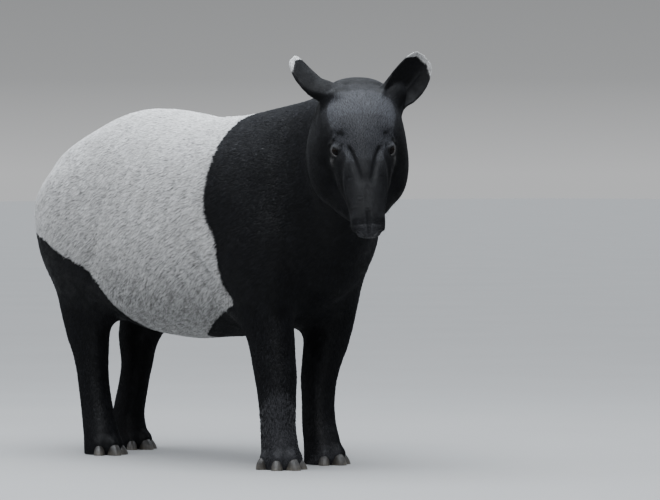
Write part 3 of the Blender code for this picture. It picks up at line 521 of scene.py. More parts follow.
# head strokes: points (a, w, b), radius, lift, taper at the ends; each is made on both sides
FACE = (
    (((0.256, 0.048, 0.078), (0.274, 0.041, 0.073), (0.300, 0.0325, 0.0645), (0.334, 0.0240, 0.055), (0.366, 0.0195, 0.0475), (0.400, 0.018, 0.040)), 0.0075, -0.0072, 0.35),
    (((0.262, 0.046, 0.076), (0.299, 0.0500, 0.0620), (0.330, 0.055, 0.047), (0.352, 0.057, 0.031), (0.380, 0.056, 0.016), (0.425, 0.051, 0.003), (0.460, 0.048, -0.006)), 0.0085, 0.0046, 0.25),
    (((0.280, 0.070, 0.052), (0.305, 0.070, 0.038), (0.335, 0.070, 0.018), (0.362, 0.068, -0.003), (0.395, 0.061, -0.016), (0.430, 0.054, -0.022), (0.460, 0.050, -0.028)), 0.0120, -0.0062, 0.30),
    (((0.290, 0.082, -0.020), (0.325, 0.074, -0.032), (0.365, 0.064, -0.045)), 0.0110, 0.0040, 0.40),
    (((0.285, 0.082, -0.042), (0.310, 0.077, -0.054), (0.345, 0.067, -0.062), (0.385, 0.055, -0.070), (0.410, 0.046, -0.076)), 0.0070, -0.0060, 0.20),
    (((0.232, 0.064, 0.082), (0.248, 0.067, 0.071)), 0.0180, -0.0048, 0.0),
    (((0.268, 0.076, 0.054),), 0.0130, -0.0030, 0.0),
    (((0.198, 0.084, 0.080), (0.214, 0.094, 0.064)), 0.0150, 0.0026, 0.0),
    (((0.262, 0.092, 0.012),), 0.0160, 0.0025, 0.0),
    (((0.240, 0.100, -0.020), (0.280, 0.090, -0.026)), 0.0200, -0.0030, 0.0),
    (((0.518, 0.027, -0.030), (0.512, 0.036, -0.036)), 0.0080, -0.0060, 0.0),
    (((0.490, 0.036, -0.004), (0.508, 0.036, -0.016)), 0.0120, 0.0040, 0.0),
)
FACE_MIDDLE = (
    (((0.180, 0.0, 0.118), (0.260, 0.0, 0.092), (0.330, 0.0, 0.065), (0.385, 0.0, 0.044)), 0.0200, 0.0030, 0.25),
    (((0.462, 0.0, 0.022), (0.490, 0.0, 0.012), (0.512, 0.0, 0.000), (0.528, 0.0, -0.014), (0.536, 0.0, -0.040)), 0.0055, -0.0042, 0.25),
)
# body strokes: points (x, y, z) with y outward, radius, lift; made on both sides
FLESH = (
    (((0.188, 0.262, 0.660), (0.214, 0.258, 0.610), (0.240, 0.250, 0.566), (0.268, 0.238, 0.506)), 0.0130, 0.0080),
    (((0.166, 0.266, 0.640), (0.192, 0.262, 0.590), (0.222, 0.250, 0.540)), 0.0140, -0.0062),
    (((-0.262, 0.285, 0.740), (-0.272, 0.283, 0.670), (-0.312, 0.262, 0.580)), 0.0320, -0.0105),
    (((0.235, 0.225, 0.900), (0.300, 0.240, 0.760), (0.330, 0.240, 0.640)), 0.0700, 0.0080),
    (((0.425, 0.150, 0.980), (0.440, 0.165, 0.860), (0.430, 0.180, 0.740)), 0.0400, -0.0070),
    (((0.235, 0.205, 0.470), (0.225, 0.175, 0.500)), 0.0350, 0.0080),
    (((-0.480, 0.262, 0.800), (-0.470, 0.268, 0.700)), 0.0900, 0.0060),
)
# joints of each leg: point, radius, lift
JOINTS = (
    ((0.441, -0.128, 0.275), 0.030, 0.0050), ((0.357, 0.110, 0.275), 0.030, 0.0050),
    ((0.340, -0.128, 0.250), 0.022, 0.0040), ((0.250, 0.108, 0.250), 0.022, 0.0040),
    ((-0.560, -0.132, 0.345), 0.028, 0.0100), ((-0.626, 0.116, 0.345), 0.028, 0.0100),
    ((-0.418, -0.130, 0.310), 0.030, 0.0040), ((-0.490, 0.112, 0.310), 0.030, 0.0040),
)


def strokes():
    out = []
    for points, radius, lift, taper in FACE:
        for s in (-1, 1):
            out.append(Stroke([on_head(a, s * w, b) for a, w, b in points], radius, lift, taper))
    for points, radius, lift, taper in FACE_MIDDLE:
        out.append(Stroke([on_head(*q) for q in points], radius, lift, taper))
    for points, radius, lift in FLESH:
        for s in (-1, 1):
            out.append(Stroke([(x, s * y, z) for x, y, z in points], radius, lift))
    for point, radius, lift in JOINTS:
        out.append(Stroke([point], radius, lift))
    return out


class Body:
    """The whole field. Each entry: shape, blend radius."""

    def __init__(self, ends=True):
        self.parts = [
            (trunk(), 0.0),
            (neck(), 0.10),
            (skull(), 0.050),
            (jaw(), 0.030),
            (cheek(1), 0.045),
            (cheek(-1), 0.045),
            (ear_root(1), 0.035),
            (ear_root(-1), 0.035),
            (foreleg(1), 0.07),
            (foreleg(-1), 0.07),
            (hindleg(1), 0.08),
            (hindleg(-1), 0.08),
        ]
        if ends:
            self.parts.append((tail(), 0.03))
        for name in FEET:
            self.parts += [(ball, 0.016) for ball in toe_flesh(name)]
        self.strokes = strokes()
        self.ears = [ear(1), ear(-1)] if ends else []

    def __call__(self, p):
        p = np.asarray(p, float)
        out = np.full(len(p), 9.0)
        for shape, k in self.parts:
            near = ((p > shape.lo - 0.12) & (p < shape.hi + 0.12)).all(1)
            if near.any():
                d = shape(p[near])
                out[near] = d if k == 0 else smin(out[near], d, k)
        for stroke in self.strokes:
            near = ((p > stroke.lo) & (p < stroke.hi)).all(1)
            if near.any():
                out[near] -= stroke(p[near])
        for shape in self.ears:
            near = ((p > shape.lo - 0.12) & (p < shape.hi + 0.12)).all(1)
            if near.any():
                out[near] = smin(out[near], shape(p[near]), 0.018)
        return out


def gradient(field, p, h=0.001):
    g = np.empty_like(p)
    for k in range(3):
        e = np.zeros(3)
        e[k] = h
        g[:, k] = (field(p + e) - field(p - e)) / (2 * h)
    return g


def settle(field, p, level=0.0, rounds=3, most=0.02):
    """Moves points onto the field's surface."""
    for _ in range(rounds):
        g = gradient(field, p)
        f = field(p) - level
        m = np.maximum((g**2).sum(1), 0.05)
        move = -(f / m)[:, None] * g
        size = np.linalg.norm(move, axis=1)
        move *= np.minimum(1, most / np.maximum(size, 1e-9))[:, None]
        p = p + move
    return p


# ================================================================ looks
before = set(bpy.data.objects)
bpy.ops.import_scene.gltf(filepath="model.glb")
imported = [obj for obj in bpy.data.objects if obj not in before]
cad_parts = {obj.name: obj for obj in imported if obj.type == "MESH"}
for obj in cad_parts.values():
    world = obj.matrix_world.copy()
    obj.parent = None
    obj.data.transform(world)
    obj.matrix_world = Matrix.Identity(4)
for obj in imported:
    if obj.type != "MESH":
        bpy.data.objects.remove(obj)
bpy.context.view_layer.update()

SKIN_VOXEL = 0.0128
R_E, LID = 0.0156, 0.0032
ALMOND = (0.0130, 0.0094, 0.0084)     # half length, upper and lower height of the eye's opening
TUFTS = {
    "coat_face": 66000, "coat_crown": 66000, "coat_fore": 66000, "coat_saddle_right": 66000,
    "coat_saddle_left": 66000, "coat_hind": 60000, "coat_forelegs": 42000, "coat_hindlegs": 42000,
}
HEAD_PLANE = (np.array([0.615, -0.060, 0.925]), unit([0.85, -0.42, 0.34]))
plain = Body(ends=False)


def middle_of(node):
    lo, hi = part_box(node)
    return (np.array(lo) + np.array(hi)) / 2


OFFSET = middle_of("eye_right") - eye(-1, plain)[0]


def wave(p, scale, seed, terms=6):
    """Smooth noise of about that wavelength, from -1 to 1."""
    rng = np.random.default_rng(seed)
    k = unit(rng.normal(size=(terms, 3))) * (2 * math.pi / scale) * rng.uniform(0.7, 1.4, (terms, 1))
    ph = rng.uniform(0, 6.28, terms)
    return np.sin(p @ k.T + ph).sum(1) / terms * 1.6


def capsule(p, a, b, r):
    ab = b - a
    u = np.clip((p - a) @ ab / (ab @ ab), 0, 1)
    return np.linalg.norm(p - a - u[:, None] * ab, axis=1) - r


class Socket:
    """Frame of one eye: u towards the nose, v up, n outwards."""

    def __init__(self, side):
        self.side, self.open = side, 0.0
        self.c, self.on = eye(side, plain)
        self.n = unit(unit(gradient(plain, self.on[None])[0]) + 0.85 * HEAD[0] + 0.30 * HEAD[2])
        u = HEAD[0] - self.n * (HEAD[0] @ self.n)
        u = unit(u)
        v = np.cross(self.n, u)
        if v @ HEAD[2] < 0:
            v = -v
        t = math.radians(-14)
        self.u = u * math.cos(t) + v * math.sin(t)
        self.v = v * math.cos(t) - u * math.sin(t)

    def local(self, p):
        q = p - self.c
        return q @ self.u, q @ self.v, q @ self.n, np.linalg.norm(q, axis=1)

    def almond(self, x, y, grow=0.0):
        l, hu, hl = (k + grow for k in ALMOND)
        h = np.where(y > 0, hu, hl)
        return (np.abs(y) - h * (1 - (x / l) ** 2)) / 1.25

    def carve(self, p, d):
        x, y, z, r = self.local(p)
        d = smin(d, r - (R_E + LID), 0.008)
        floor = (R_E + LID + 0.001) * (1 - self.open) + (R_E - 0.0022) * self.open
        hole = smax(self.almond(x, y), floor - r, 0.001)
        hole = np.maximum(hole, -z)
        return smax(d, -hole, 0.0015)

    def arc(self, field, sign, off, reach=1.15, n=9):
        l, hu, hl = ALMOND
        s = np.linspace(-reach, reach, n)
        h = hu if sign > 0 else hl
        x = s * l
        y = sign * (h * np.clip(1 - s**2, -0.25, 1) + off)
        p = self.c + x[:, None] * self.u + y[:, None] * self.v + self.n * (R_E * 0.75)
        return settle(field, p, rounds=6)


class Skin(Body):
    def __init__(self):
        super().__init__(ends=True)
        self.sockets = [Socket(1), Socket(-1)]
        self.nostril = 0.0
        self.fine = []
        base = [Stroke(s.arc(plain, k, off), r, lift)
                for s in self.sockets
                for k, off, r, lift in ((1, 0.0062, 0.0017, -0.0016), (1, 0.0115, 0.0030, -0.0010),
                                        (-1, 0.0060, 0.0017, -0.0013), (-1, 0.0110, 0.0026, -0.0011),
                                        (1, 0.0028, 0.0030, 0.0007), (-1, 0.0030, 0.0028, 0.0006))]
        self.fine += base
        for s in (-1, 1):
            def line(points, radius, lift, taper=0.2):
                self.fine.append(Stroke([on_head(a, s * w, b) for a, w, b in points], radius, lift, taper))
            # edge of the mouth
            line(((0.292, 0.083, -0.041), (0.315, 0.077, -0.054), (0.345, 0.067, -0.063), (0.385, 0.055, -0.071), (0.410, 0.046, -0.077), (0.428, 0.028, -0.080), (0.434, 0, -0.081)), 0.0030, -0.0042)
            # folds beside the trunk of the nose
            line(((0.262, 0.046, 0.077), (0.280, 0.039, 0.071), (0.303, 0.031, 0.064), (0.336, 0.023, 0.055), (0.368, 0.019, 0.047)), 0.0032, -0.0022, 0.35)
            line(((0.264, 0.047, 0.077), (0.299, 0.051, 0.063), (0.330, 0.056, 0.048), (0.352, 0.059, 0.031), (0.380, 0.057, 0.016)), 0.0036, 0.0016, 0.25)
            line(((0.300, 0.070, 0.036), (0.330, 0.069, 0.016), (0.360, 0.066, -0.004), (0.400, 0.059, -0.017)), 0.0045, -0.0016, 0.25)
            line(((0.420, 0.050, 0.008), (0.450, 0.050, -0.008), (0.480, 0.049, -0.018)), 0.0040, -0.0010, 0.3)
            # brow over the inner corner of the eye, and the crease and pouch under it
            line(((0.216, 0.076, 0.080), (0.224, 0.084, 0.070), (0.228, 0.091, 0.058), (0.224, 0.099, 0.042)), 0.0045, 0.0020, 0.2)
            line(((0.250, 0.098, 0.016), (0.262, 0.090, 0.020), (0.274, 0.080, 0.034)), 0.0060, 0.0016, 0.2)
            for i, a in enumerate((0.352, 0.362, 0.371, 0.381, 0.392, 0.404)):
                r = 0.0020 + 0.0004 * (i % 3)
                line(((a - 0.004, 0.056, 0.036 - 1.1 * (a - 0.345)), (a + 0.002, 0.046, 0.046 - 0.9 * (a - 0.345)), (a + 0.009, 0.034, 0.050 - 0.7 * (a - 0.345))), r, -0.0012, 0.3)
            # cheek and jaw
            line(((0.215, 0.104, -0.030), (0.250, 0.102, -0.060), (0.262, 0.100, -0.095)), 0.0090, -0.0012)
            line(((0.330, 0.075, -0.085), (0.360, 0.064, -0.095), (0.390, 0.050, -0.098)), 0.0050, -0.0010)
            # lip under the tip of the nose
            line(((0.512, 0.046, -0.020), (0.520, 0.046, -0.034), (0.516, 0.040, -0.050)), 0.0045, 0.0018)
        self.fine.append(Stroke([on_head(0.440, -0.010, 0.030), on_head(0.450, 0.006, 0.027)], 0.0022, -0.0010))
        self.fine.append(Stroke([on_head(0.428, -0.022, 0.030), on_head(0.436, -0.012, 0.031)], 0.0020, -0.0009))
        self.fine.append(Stroke([on_head(0.400, 0.0, 0.040), on_head(0.450, 0.0, 0.026)], 0.0080, -0.0010))
        # ribs inside the ears
        for e in self.ears:
            for v in (-0.35, 0.05, 0.42):
                pts = []
                for t in (0.05, 0.25, 0.45, 0.65):
                    w = v * e.half(t)
                    pts.append(e.base + np.array([t * e.size[0], w + e.bend(t), e.mid(t, np.array(v)) + e.thick]) @ e.axes)
                self.fine.append(Stroke(pts, 0.0030, 0.0012))

    def __call__(self, p):
        p = np.asarray(p, float)
        d = super().__call__(p)
        for stroke in self.fine:
            near = ((p > stroke.lo) & (p < stroke.hi)).all(1)
            if near.any():
                d[near] -= stroke(p[near])
        for s in self.sockets:
            near = ((p - s.c) ** 2).sum(1) < 0.05**2
            if near.any():
                d[near] = s.carve(p[near], d[near])
        h = in_head(p)
        near = (h[:, 0] > 0.36) & (np.abs(h[:, 1]) < 0.08) & (np.abs(h[:, 2]) < 0.12)
        if near.any():
            q = h[near]
            a = q[:, 0]
            # rings of folded skin round the end of the nose
            mask = step(a, 0.390, 0.440) * (1 - step(a, 0.495, 0.510)) * step(q[:, 2], -0.045, -0.030)
            ring = np.sin(a / 0.0105 * 2 * math.pi + 3.0 * wave(q, 0.035, 5) + 30 * np.abs(q[:, 1]))
            d[near] -= 0.00030 * mask * ring * np.clip(0.5 + wave(q, 0.03, 6), 0, 1)
            deep = 0.026 * self.nostril
            for s in (-1, 1) if self.nostril else ():
                hole = capsule(q, np.array([0.550, s * 0.0225, -0.036]), np.array([0.536 - deep, s * 0.0200, -0.031]), 0.0064)
                slit = capsule(q, np.array([0.548, s * 0.0330, -0.025]), np.array([0.538 - deep, s * 0.0280, -0.024]), 0.0034)
                d[near] = smax(d[near], -smin(hole, slit, 0.006), 0.0035)
        far = step(-((p - HEAD_PLANE[0]) @ HEAD_PLANE[1]), 0.0, 0.10) * step(p[:, 2], 0.08, 0.25)
        m = far > 0
        if m.any():
            d[m] -= far[m] * (0.0011 * wave(p[m], 0.16, 11) + 0.0005 * wave(p[m], 0.055, 12))
        return d


skin_field = Skin()


def near_ear(p):
    """Share of ear (1 on the leaf) and the local coordinates of the nearer ear."""
    share = np.zeros(len(p))
    which = np.zeros(len(p), int)
    local = np.zeros((len(p), 3))
    for i, e in enumerate(skin_field.ears):
        q = e.local(p)
        t = q[:, 0] / e.size[0]
        ok = (t > -0.25) & (t < 1.15) & (np.abs(q[:, 1]) < 0.07) & (np.abs(q[:, 2]) < 0.06)
        if ok.any():
            s = step(-e(p[ok]), -0.010, -0.004) * step(t[ok], -0.12, 0.10)
            share[ok] = np.maximum(share[ok], s)
            local[ok] = q[ok]
            which[ok] = i
    return share, which, local


def depth(p):
    """How far the skin lies inside the coat's outline."""
    h = in_head(p)
    s = (p - HEAD_PLANE[0]) @ HEAD_PLANE[1]
    d = COAT - 0.0016 * step(s, -0.02, 0.08) - 0.0010 * step(h[:, 0], 0.16, 0.30) * (s > 0) - 0.0009 * step(h[:, 0], 0.44, 0.50) * (s > 0)
    low = 1 - step(p[:, 2], 0.10, 0.40)
    legs = (1 - step(p[:, 2], 0.06, 0.14))
    d = d - 0.0012 * low * (s < 0) - 0.0012 * legs * (s < 0)
    for k in skin_field.sockets:
        r = np.linalg.norm(p - k.c, axis=1)
        d = d - np.maximum(d - 0.0007, 0) * (1 - step(r, 0.024, 0.042))
    e, _, _ = near_ear(p)
    return d * (1 - e) + 0.0007 * e


# ---------------------------------------------------------------- mesh tools
def new_object(name, mesh):
    ob = bpy.data.objects.new(name, mesh)
    bpy.context.scene.collection.objects.link(ob)
    return ob


def loft(bm, rings, shut=True):
    rows = [[bm.verts.new(tuple(p)) for p in ring] for ring in rings]
    n = len(rows[0])
    for a, b in zip(rows, rows[1:]):
        for i in range(n):
            j = (i + 1) % n
            bm.faces.new((a[i], a[j], b[j], b[i]))
    if shut:
        bm.faces.new(rows[0][::-1])
        bm.faces.new(rows[-1])
    bmesh.ops.recalc_face_normals(bm, faces=bm.faces)


def coords(mesh):
    co = np.empty(len(mesh.vertices) * 3, np.float32)
    mesh.vertices.foreach_get("co", co)
    return co.reshape(-1, 3).astype(float)


def put(mesh, p):
    mesh.vertices.foreach_set("co", np.asarray(p, np.float32).ravel())
    mesh.update()


def normals(mesh):
    n = np.empty(len(mesh.vertices) * 3, np.float32)
    mesh.vertices.foreach_get("normal", n)
    return n.reshape(-1, 3).astype(float)


def pull(mesh, mask=None, first=True, rounds=1):
    """Draws vertices onto the skin's surface: by the field's slope first, then along the mesh's normals."""
    whole = coords(mesh)
    at = np.arange(len(whole)) if mask is None else np.nonzero(mask)[0]
    p = whole[at]
    level = -depth(p)
    if first:
        f = skin_field(p)
        h = 0.0006
        g = np.stack([skin_field(p + e) - f for e in np.eye(3) * h], 1) / h
        m = np.maximum((g**2).sum(1), 0.15)
        move = -((f - level) / m)[:, None] * g
        size = np.linalg.norm(move, axis=1)
        p = p + move * np.minimum(1, 0.02 / np.maximum(size, 1e-9))[:, None]
        whole[at] = p
        put(mesh, whole)
    for _ in range(rounds):
        n = normals(mesh)[at]
        f = skin_field(p) - level
        p = p - np.clip(f, -0.003, 0.003)[:, None] * n * 0.9
        whole[at] = p
        put(mesh, whole)
    return whole


def relax(mesh, weight, rounds=1, factor=0.5):
    """Evens the spacing of the vertices; weight is per vertex."""
    e = np.empty(len(mesh.edges) * 2, np.int32)
    mesh.edges.foreach_get("vertices", e)
    e = e.reshape(-1, 2)
    p = coords(mesh)
    count = np.bincount(e.ravel(), minlength=len(p))[:, None]
    for _ in range(rounds):
        total = np.zeros_like(p)
        for k in range(3):
            total[:, k] = np.bincount(e[:, 0], p[e[:, 1], k], len(p)) + np.bincount(e[:, 1], p[e[:, 0], k], len(p))
        p = p + (total / np.maximum(count, 1) - p) * factor * weight[:, None]
    put(mesh, p)


def divide(ob, chosen):
    """Splits every face whose centre is chosen into four."""
    me = ob.data
    bm = bmesh.new()
    bm.from_mesh(me)
    co = np.array([f.calc_center_median() for f in bm.faces])
    pick = chosen(co)
    edges = set()
    for f, k in zip(bm.faces, pick):
        if k:
            edges.update(f.edges)
    bmesh.ops.subdivide_edges(bm, edges=list(edges), cuts=1, use_grid_fill=True)
    bmesh.ops.triangulate(bm, faces=[f for f in bm.faces if len(f.verts) > 4])
    bm.to_mesh(me)
    bm.free()
    me.update()


def base_skin():
    bm = bmesh.new()
    shapes = [s for s, _ in skin_field.parts] + [
        Ear(e.base, e.axes[0], e.axes[2], size=(e.size[0] * 1.0, e.size[1] * 1.06), bow=e.bow, thick=0.0105) for e in skin_field.ears]
    for shape in shapes:
        b2 = bmesh.new()
        if isinstance(shape, Ball):
            bmesh.ops.create_icosphere(b2, subdivisions=3, radius=1)
            m = Matrix.Identity(4)
            cols = shape.axes.T * shape.r
            for i in range(3):
                for j in range(3):
                    m[i][j] = cols[i, j]
                m[i][3] = shape.c[i]
            bmesh.ops.transform(b2, matrix=m, verts=b2.verts)
            bmesh.ops.recalc_face_normals(b2, faces=b2.faces)
        elif isinstance(shape, Ear):
            loft(b2, shape.rings(rows=24, cols=17))
        else:
            loft(b2, shape.rings())
        part = bpy.data.meshes.new("part")
        b2.to_mesh(part)
        b2.free()
        bm.from_mesh(part)
        bpy.data.meshes.remove(part)
    me = bpy.data.meshes.new("skin_base")
    bm.to_mesh(me)
    bm.free()
    ob = new_object("skin_base", me)
    mod = ob.modifiers.new("even", "REMESH")
    mod.mode = "VOXEL"
    mod.voxel_size = SKIN_VOXEL
    bpy.context.view_layer.update()
    graph = bpy.context.evaluated_depsgraph_get()
    made = bpy.data.meshes.new_from_object(ob.evaluated_get(graph))
    bpy.data.objects.remove(ob)
    return new_object("skin", made)


def on_face(c, a0, far=0.0):
    h = in_head(c)
    return ((c - HEAD_PLANE[0]) @ HEAD_PLANE[1] > far) & (h[:, 0] > a0)


def by_eye(c, r):
    return np.min([((c - s.c) ** 2).sum(1) for s in skin_field.sockets], axis=0) < r * r


def build_skin():
    for e in skin_field.ears:
        e.thin, e.thick = e.thick, 0.0105
    ob = base_skin()
    me = ob.data
    pull(me, rounds=1)
    relax(me, np.full(len(me.vertices), 1.0), 2)
    pull(me, rounds=0)
    ears = lambda c: near_ear(c)[0] > 0.2
    feet = lambda c: c[:, 2] < 0.12
    folds = [Stroke([(x, s * y, z) for x, y, z in FLESH[i][0]], 0.022, 1.0) for i in (0, 1) for s in (-1, 1)]
    elbow = lambda c: sum(k(c) for k in folds) > 0.2
    divide(ob, lambda c: on_face(c, -9.0, -0.01) | ears(c) | feet(c) | elbow(c))
    relax(me, np.full(len(me.vertices), 0.6), 1)
    pull(me, rounds=1)
    divide(ob, lambda c: on_face(c, 0.19) | ears(c))
    co = coords(me)
    pull(me, mask=on_face(co, -9.0, -0.02), rounds=1)
    # the ears are thinned a little at a time, so that their vertices stay even
    for thick in (0.0085, 0.0068, 0.0052, 0.0043, 0.0036):
        for e in skin_field.ears:
            e.thick = thick
        near = near_ear(coords(me))[0] > 0.02
        relax(me, near * 0.7, 2)
        pull(me, mask=near, rounds=1)
    divide(ob, lambda c: by_eye(c, 0.036) | on_face(c, 0.490))
    for share in (0.35, 0.7, 1.0, 1.0):
        skin_field.nostril = share
        near = on_face(coords(me), 0.495)
        relax(me, near * 0.8, 2)
        pull(me, mask=near, rounds=1)
    divide(ob, lambda c: by_eye(c, 0.026))
    for share in (0.25, 0.5, 0.75, 1.0, 1.0, 1.0):
        for k in skin_field.sockets:
            k.open = share
        near = by_eye(coords(me), 0.029)
        relax(me, near * 0.8, 2)
        pull(me, mask=near, rounds=1)
    co = coords(me)
    p = pull(me, mask=by_eye(co, 0.036) | on_face(co, 0.19), first=False, rounds=2)
    p[:, 2] = np.maximum(p[:, 2], 0.0006)
    put(me, p)
    return ob


T0 = time.time()
skin = build_skin()
print("skin", len(skin.data.vertices), len(skin.data.polygons), round(time.time() - T0, 1))


# ---------------------------------------------------------------- markings
# border of the pale saddle on one side, from the middle of the back down the shoulder, along the belly and up the rump
BORDER = catmull([
    (0.190, 0.000, 1.027), (0.183, 0.036, 1.025), (0.175, 0.070, 1.014), (0.173, 0.112, 0.990), (0.180, 0.156, 0.953),
    (0.189, 0.196, 0.905), (0.194, 0.224, 0.854), (0.196, 0.241, 0.802), (0.203, 0.251, 0.757), (0.221, 0.253, 0.714),
    (0.243, 0.252, 0.678), (0.257, 0.252, 0.639), (0.260, 0.249, 0.597), (0.266, 0.241, 0.551), (0.279, 0.232, 0.515),
    (0.297, 0.224, 0.490), (0.291, 0.217, 0.474), (0.255, 0.204, 0.456), (0.185, 0.172, 0.435), (0.131, 0.154, 0.415),
    (0.088, 0.127, 0.395), (0.020, 0.080, 0.374), (-0.010, 0.000, 0.366)], 170)
REAR = catmull([
    (-0.190, 0.000, 0.372), (-0.200, 0.060, 0.380), (-0.215, 0.110, 0.395), (-0.240, 0.160, 0.425), (-0.275, 0.203, 0.458),
    (-0.286, 0.226, 0.488), (-0.299, 0.240, 0.517), (-0.316, 0.248, 0.540), (-0.349, 0.257, 0.570), (-0.391, 0.263, 0.588),
    (-0.450, 0.268, 0.610), (-0.533, 0.262, 0.646), (-0.606, 0.234, 0.667), (-0.655, 0.205, 0.685), (-0.700, 0.140, 0.692),
    (-0.735, 0.070, 0.684), (-0.750, 0.000, 0.670)], 120)
BORDER, REAR = (settle(plain, line, rounds=3) for line in (BORDER, REAR))


def centre_line(x):
    xs = [-0.76, -0.6, -0.4, -0.2, 0.0, 0.2, 0.35, 0.45, 0.55, 0.665]
    return (np.interp(x, xs, [0, 0, 0, 0, 0, 0, 0, -0.008, -0.035, -0.095]),
            np.interp(x, xs, [0.770, 0.750, 0.715, 0.690, 0.665, 0.680, 0.730, 0.790, 0.865, 0.925]))


def round_angle(p):
    """Angle round the body from the middle of the back, 0, to the middle of the belly, pi; its sign is the side's."""
    yc, zc = centre_line(p[:, 0])
    return np.arctan2(p[:, 1] - yc, p[:, 2] - zc)


def saddle(p):
    """Signed distance to the saddle's border, positive on the pale side."""
    q = np.stack([p[:, 0], np.abs(p[:, 1]), p[:, 2]], 1)
    best = np.full(len(p), 9.0)
    for line in (BORDER[::2], REAR[::2]):
        for i in range(0, len(q), 40000):
            part = q[i:i + 40000]
            d2 = (part**2).sum(1)[:, None] - 2 * part @ line.T + (line**2).sum(1)
            k = np.clip(d2.argmin(1), 1, len(line) - 2)
            near = np.full(len(part), 9.0)
            for j in (-1, 0):
                a, b = line[k + j], line[k + j + 1]
                ab = b - a
                u = np.clip(((part - a) * ab).sum(1) / (ab**2).sum(1), 0, 1)
                near = np.minimum(near, np.linalg.norm(part - a - u[:, None] * ab, axis=1))
            best[i:i + 40000] = np.minimum(best[i:i + 40000], near)

    def flat(line):
        return np.stack([line[:, 0], np.abs(round_angle(np.stack([line[:, 0], line[:, 1] + 1e-6, line[:, 2]], 1)))], 1)

    a, b = flat(BORDER), flat(REAR)
    a[-1, 1] = b[0, 1] = b[-1, 1] = math.pi + 0.01
    ring = np.vstack([[(a[0, 0], -0.01)], a, b, [(-0.95, math.pi + 0.01), (-0.95, -0.01)]])
    x, y = p[:, 0], np.abs(round_angle(p))
    inside = np.zeros(len(p), bool)
    for (x0, y0), (x1, y1) in zip(ring, np.roll(ring, -1, axis=0)):
        hit = ((y0 > y) != (y1 > y))
        if hit.any():
            cross = (x1 - x0) * (y[hit] - y0) / (y1 - y0) + x0
            idx = np.nonzero(hit)[0]
            flip = x[idx] < cross
            inside[idx[flip]] ^= True
    inside |= p[:, 0] < -0.745
    return np.where(inside, best, -best)


def ear_rim(p):
    """Pale rim round the tip of each ear."""
    share, which, local = near_ear(p)
    out = np.zeros(len(p))
    for i, e in enumerate(skin_field.ears):
        m = (share > 0.3) & (which == i)
        t = local[m, 0] / e.size[0]
        edge = np.minimum(e.half(t) - np.abs(local[m, 1]), (e.size[0] - local[m, 0]) * 0.80)
        wide = 0.0175 * step(t, 0.64, 0.84)
        out[m] = step(wide - edge, -0.001, 0.002) * step(t, 0.60, 0.70)
    return out


def by_eyes(p):
    """Pale ring and patch round each eye, and the moist rim of its lids."""
    grey = np.zeros(len(p))
    rim = np.zeros(len(p))
    for k in skin_field.sockets:
        near = ((p - k.c) ** 2).sum(1) < 0.06**2
        if not near.any():
            continue
        x, y, z, r = k.local(p[near])
        e = k.almond(x, y)
        ring = np.exp(-((e - 0.0040) / 0.0026) ** 2) * (0.12 + 0.60 * step(-y, -0.002, 0.007))
        under = np.exp(-((p[near] - on_head(0.262, k.side * 0.088, 0.019)) ** 2).sum(1) / 0.0120**2)
        above = 0.40 * np.exp(-((p[near] - on_head(0.226, k.side * 0.090, 0.060)) ** 2).sum(1) / 0.008**2)
        grey[near] = np.maximum(grey[near], np.clip(ring * 0.7 + under * 0.80 + above, 0, 1) * (z > 0))
        rim[near] = np.maximum(rim[near], np.exp(-((e + 0.0001) / 0.0010) ** 2) * (z > 0) * (0.06 + 0.94 * step(-y, 0.000, 0.0055)))
    return grey, rim


def lie(p):
    """Which way the coat lies, before it is laid flat on the skin."""
    h = in_head(p)
    s = (p - HEAD_PLANE[0]) @ HEAD_PLANE[1]
    out = np.tile(np.array([-1.0, 0.0, -0.62]), (len(p), 1))
    out[:, 1] = 0.22 * np.sign(p[:, 1]) * step(np.abs(p[:, 1]), 0.0, 0.08) * step(p[:, 2], 0.80, 0.95)
    low = (1 - step(p[:, 2], 0.36, 0.56))[:, None]
    belly = low * step(0.16 - np.abs(p[:, 0] - 0.0) * 0.5, 0.02, 0.08)[:, None]
    down = np.array([-0.18, 0.0, -1.0])
    out = out * (1 - low * (1 - belly)) + down * low * (1 - belly)
    w = step(s, -0.06, 0.06)[:, None]
    face = -HEAD[0] * 1.0 - HEAD[2] * 0.22 + np.sign(h[:, 1:2]) * HEAD[1] * 0.12
    crown = -HEAD[0] * 0.9 - HEAD[2] * 0.75
    f = step(h[:, 0], 0.02, 0.14)[:, None]
    out = out * (1 - w) + (face * f + crown * (1 - f)) * w
    for k in skin_field.sockets:
        q = p - k.c
        r = np.linalg.norm(q, axis=1)
        m = (1 - step(r, 0.020, 0.040))[:, None]
        away = unit(q - (q @ k.n)[:, None] * k.n + 1e-6)
        out = out * (1 - 0.75 * m) + (away * 0.8 - HEAD[0] * 0.5) * 0.75 * m
    e, which, _ = near_ear(p)
    for i, ear_i in enumerate(skin_field.ears):
        m = (e * (which == i))[:, None]
        out = out * (1 - m) + ear_i.axes[0] * m
    tail_w = step(-p[:, 0], 0.735, 0.760)[:, None] * (np.abs(p[:, 1]) < 0.06)[:, None]
    out = out * (1 - tail_w) + np.array([-0.25, 0, -1.0]) * tail_w
    return out


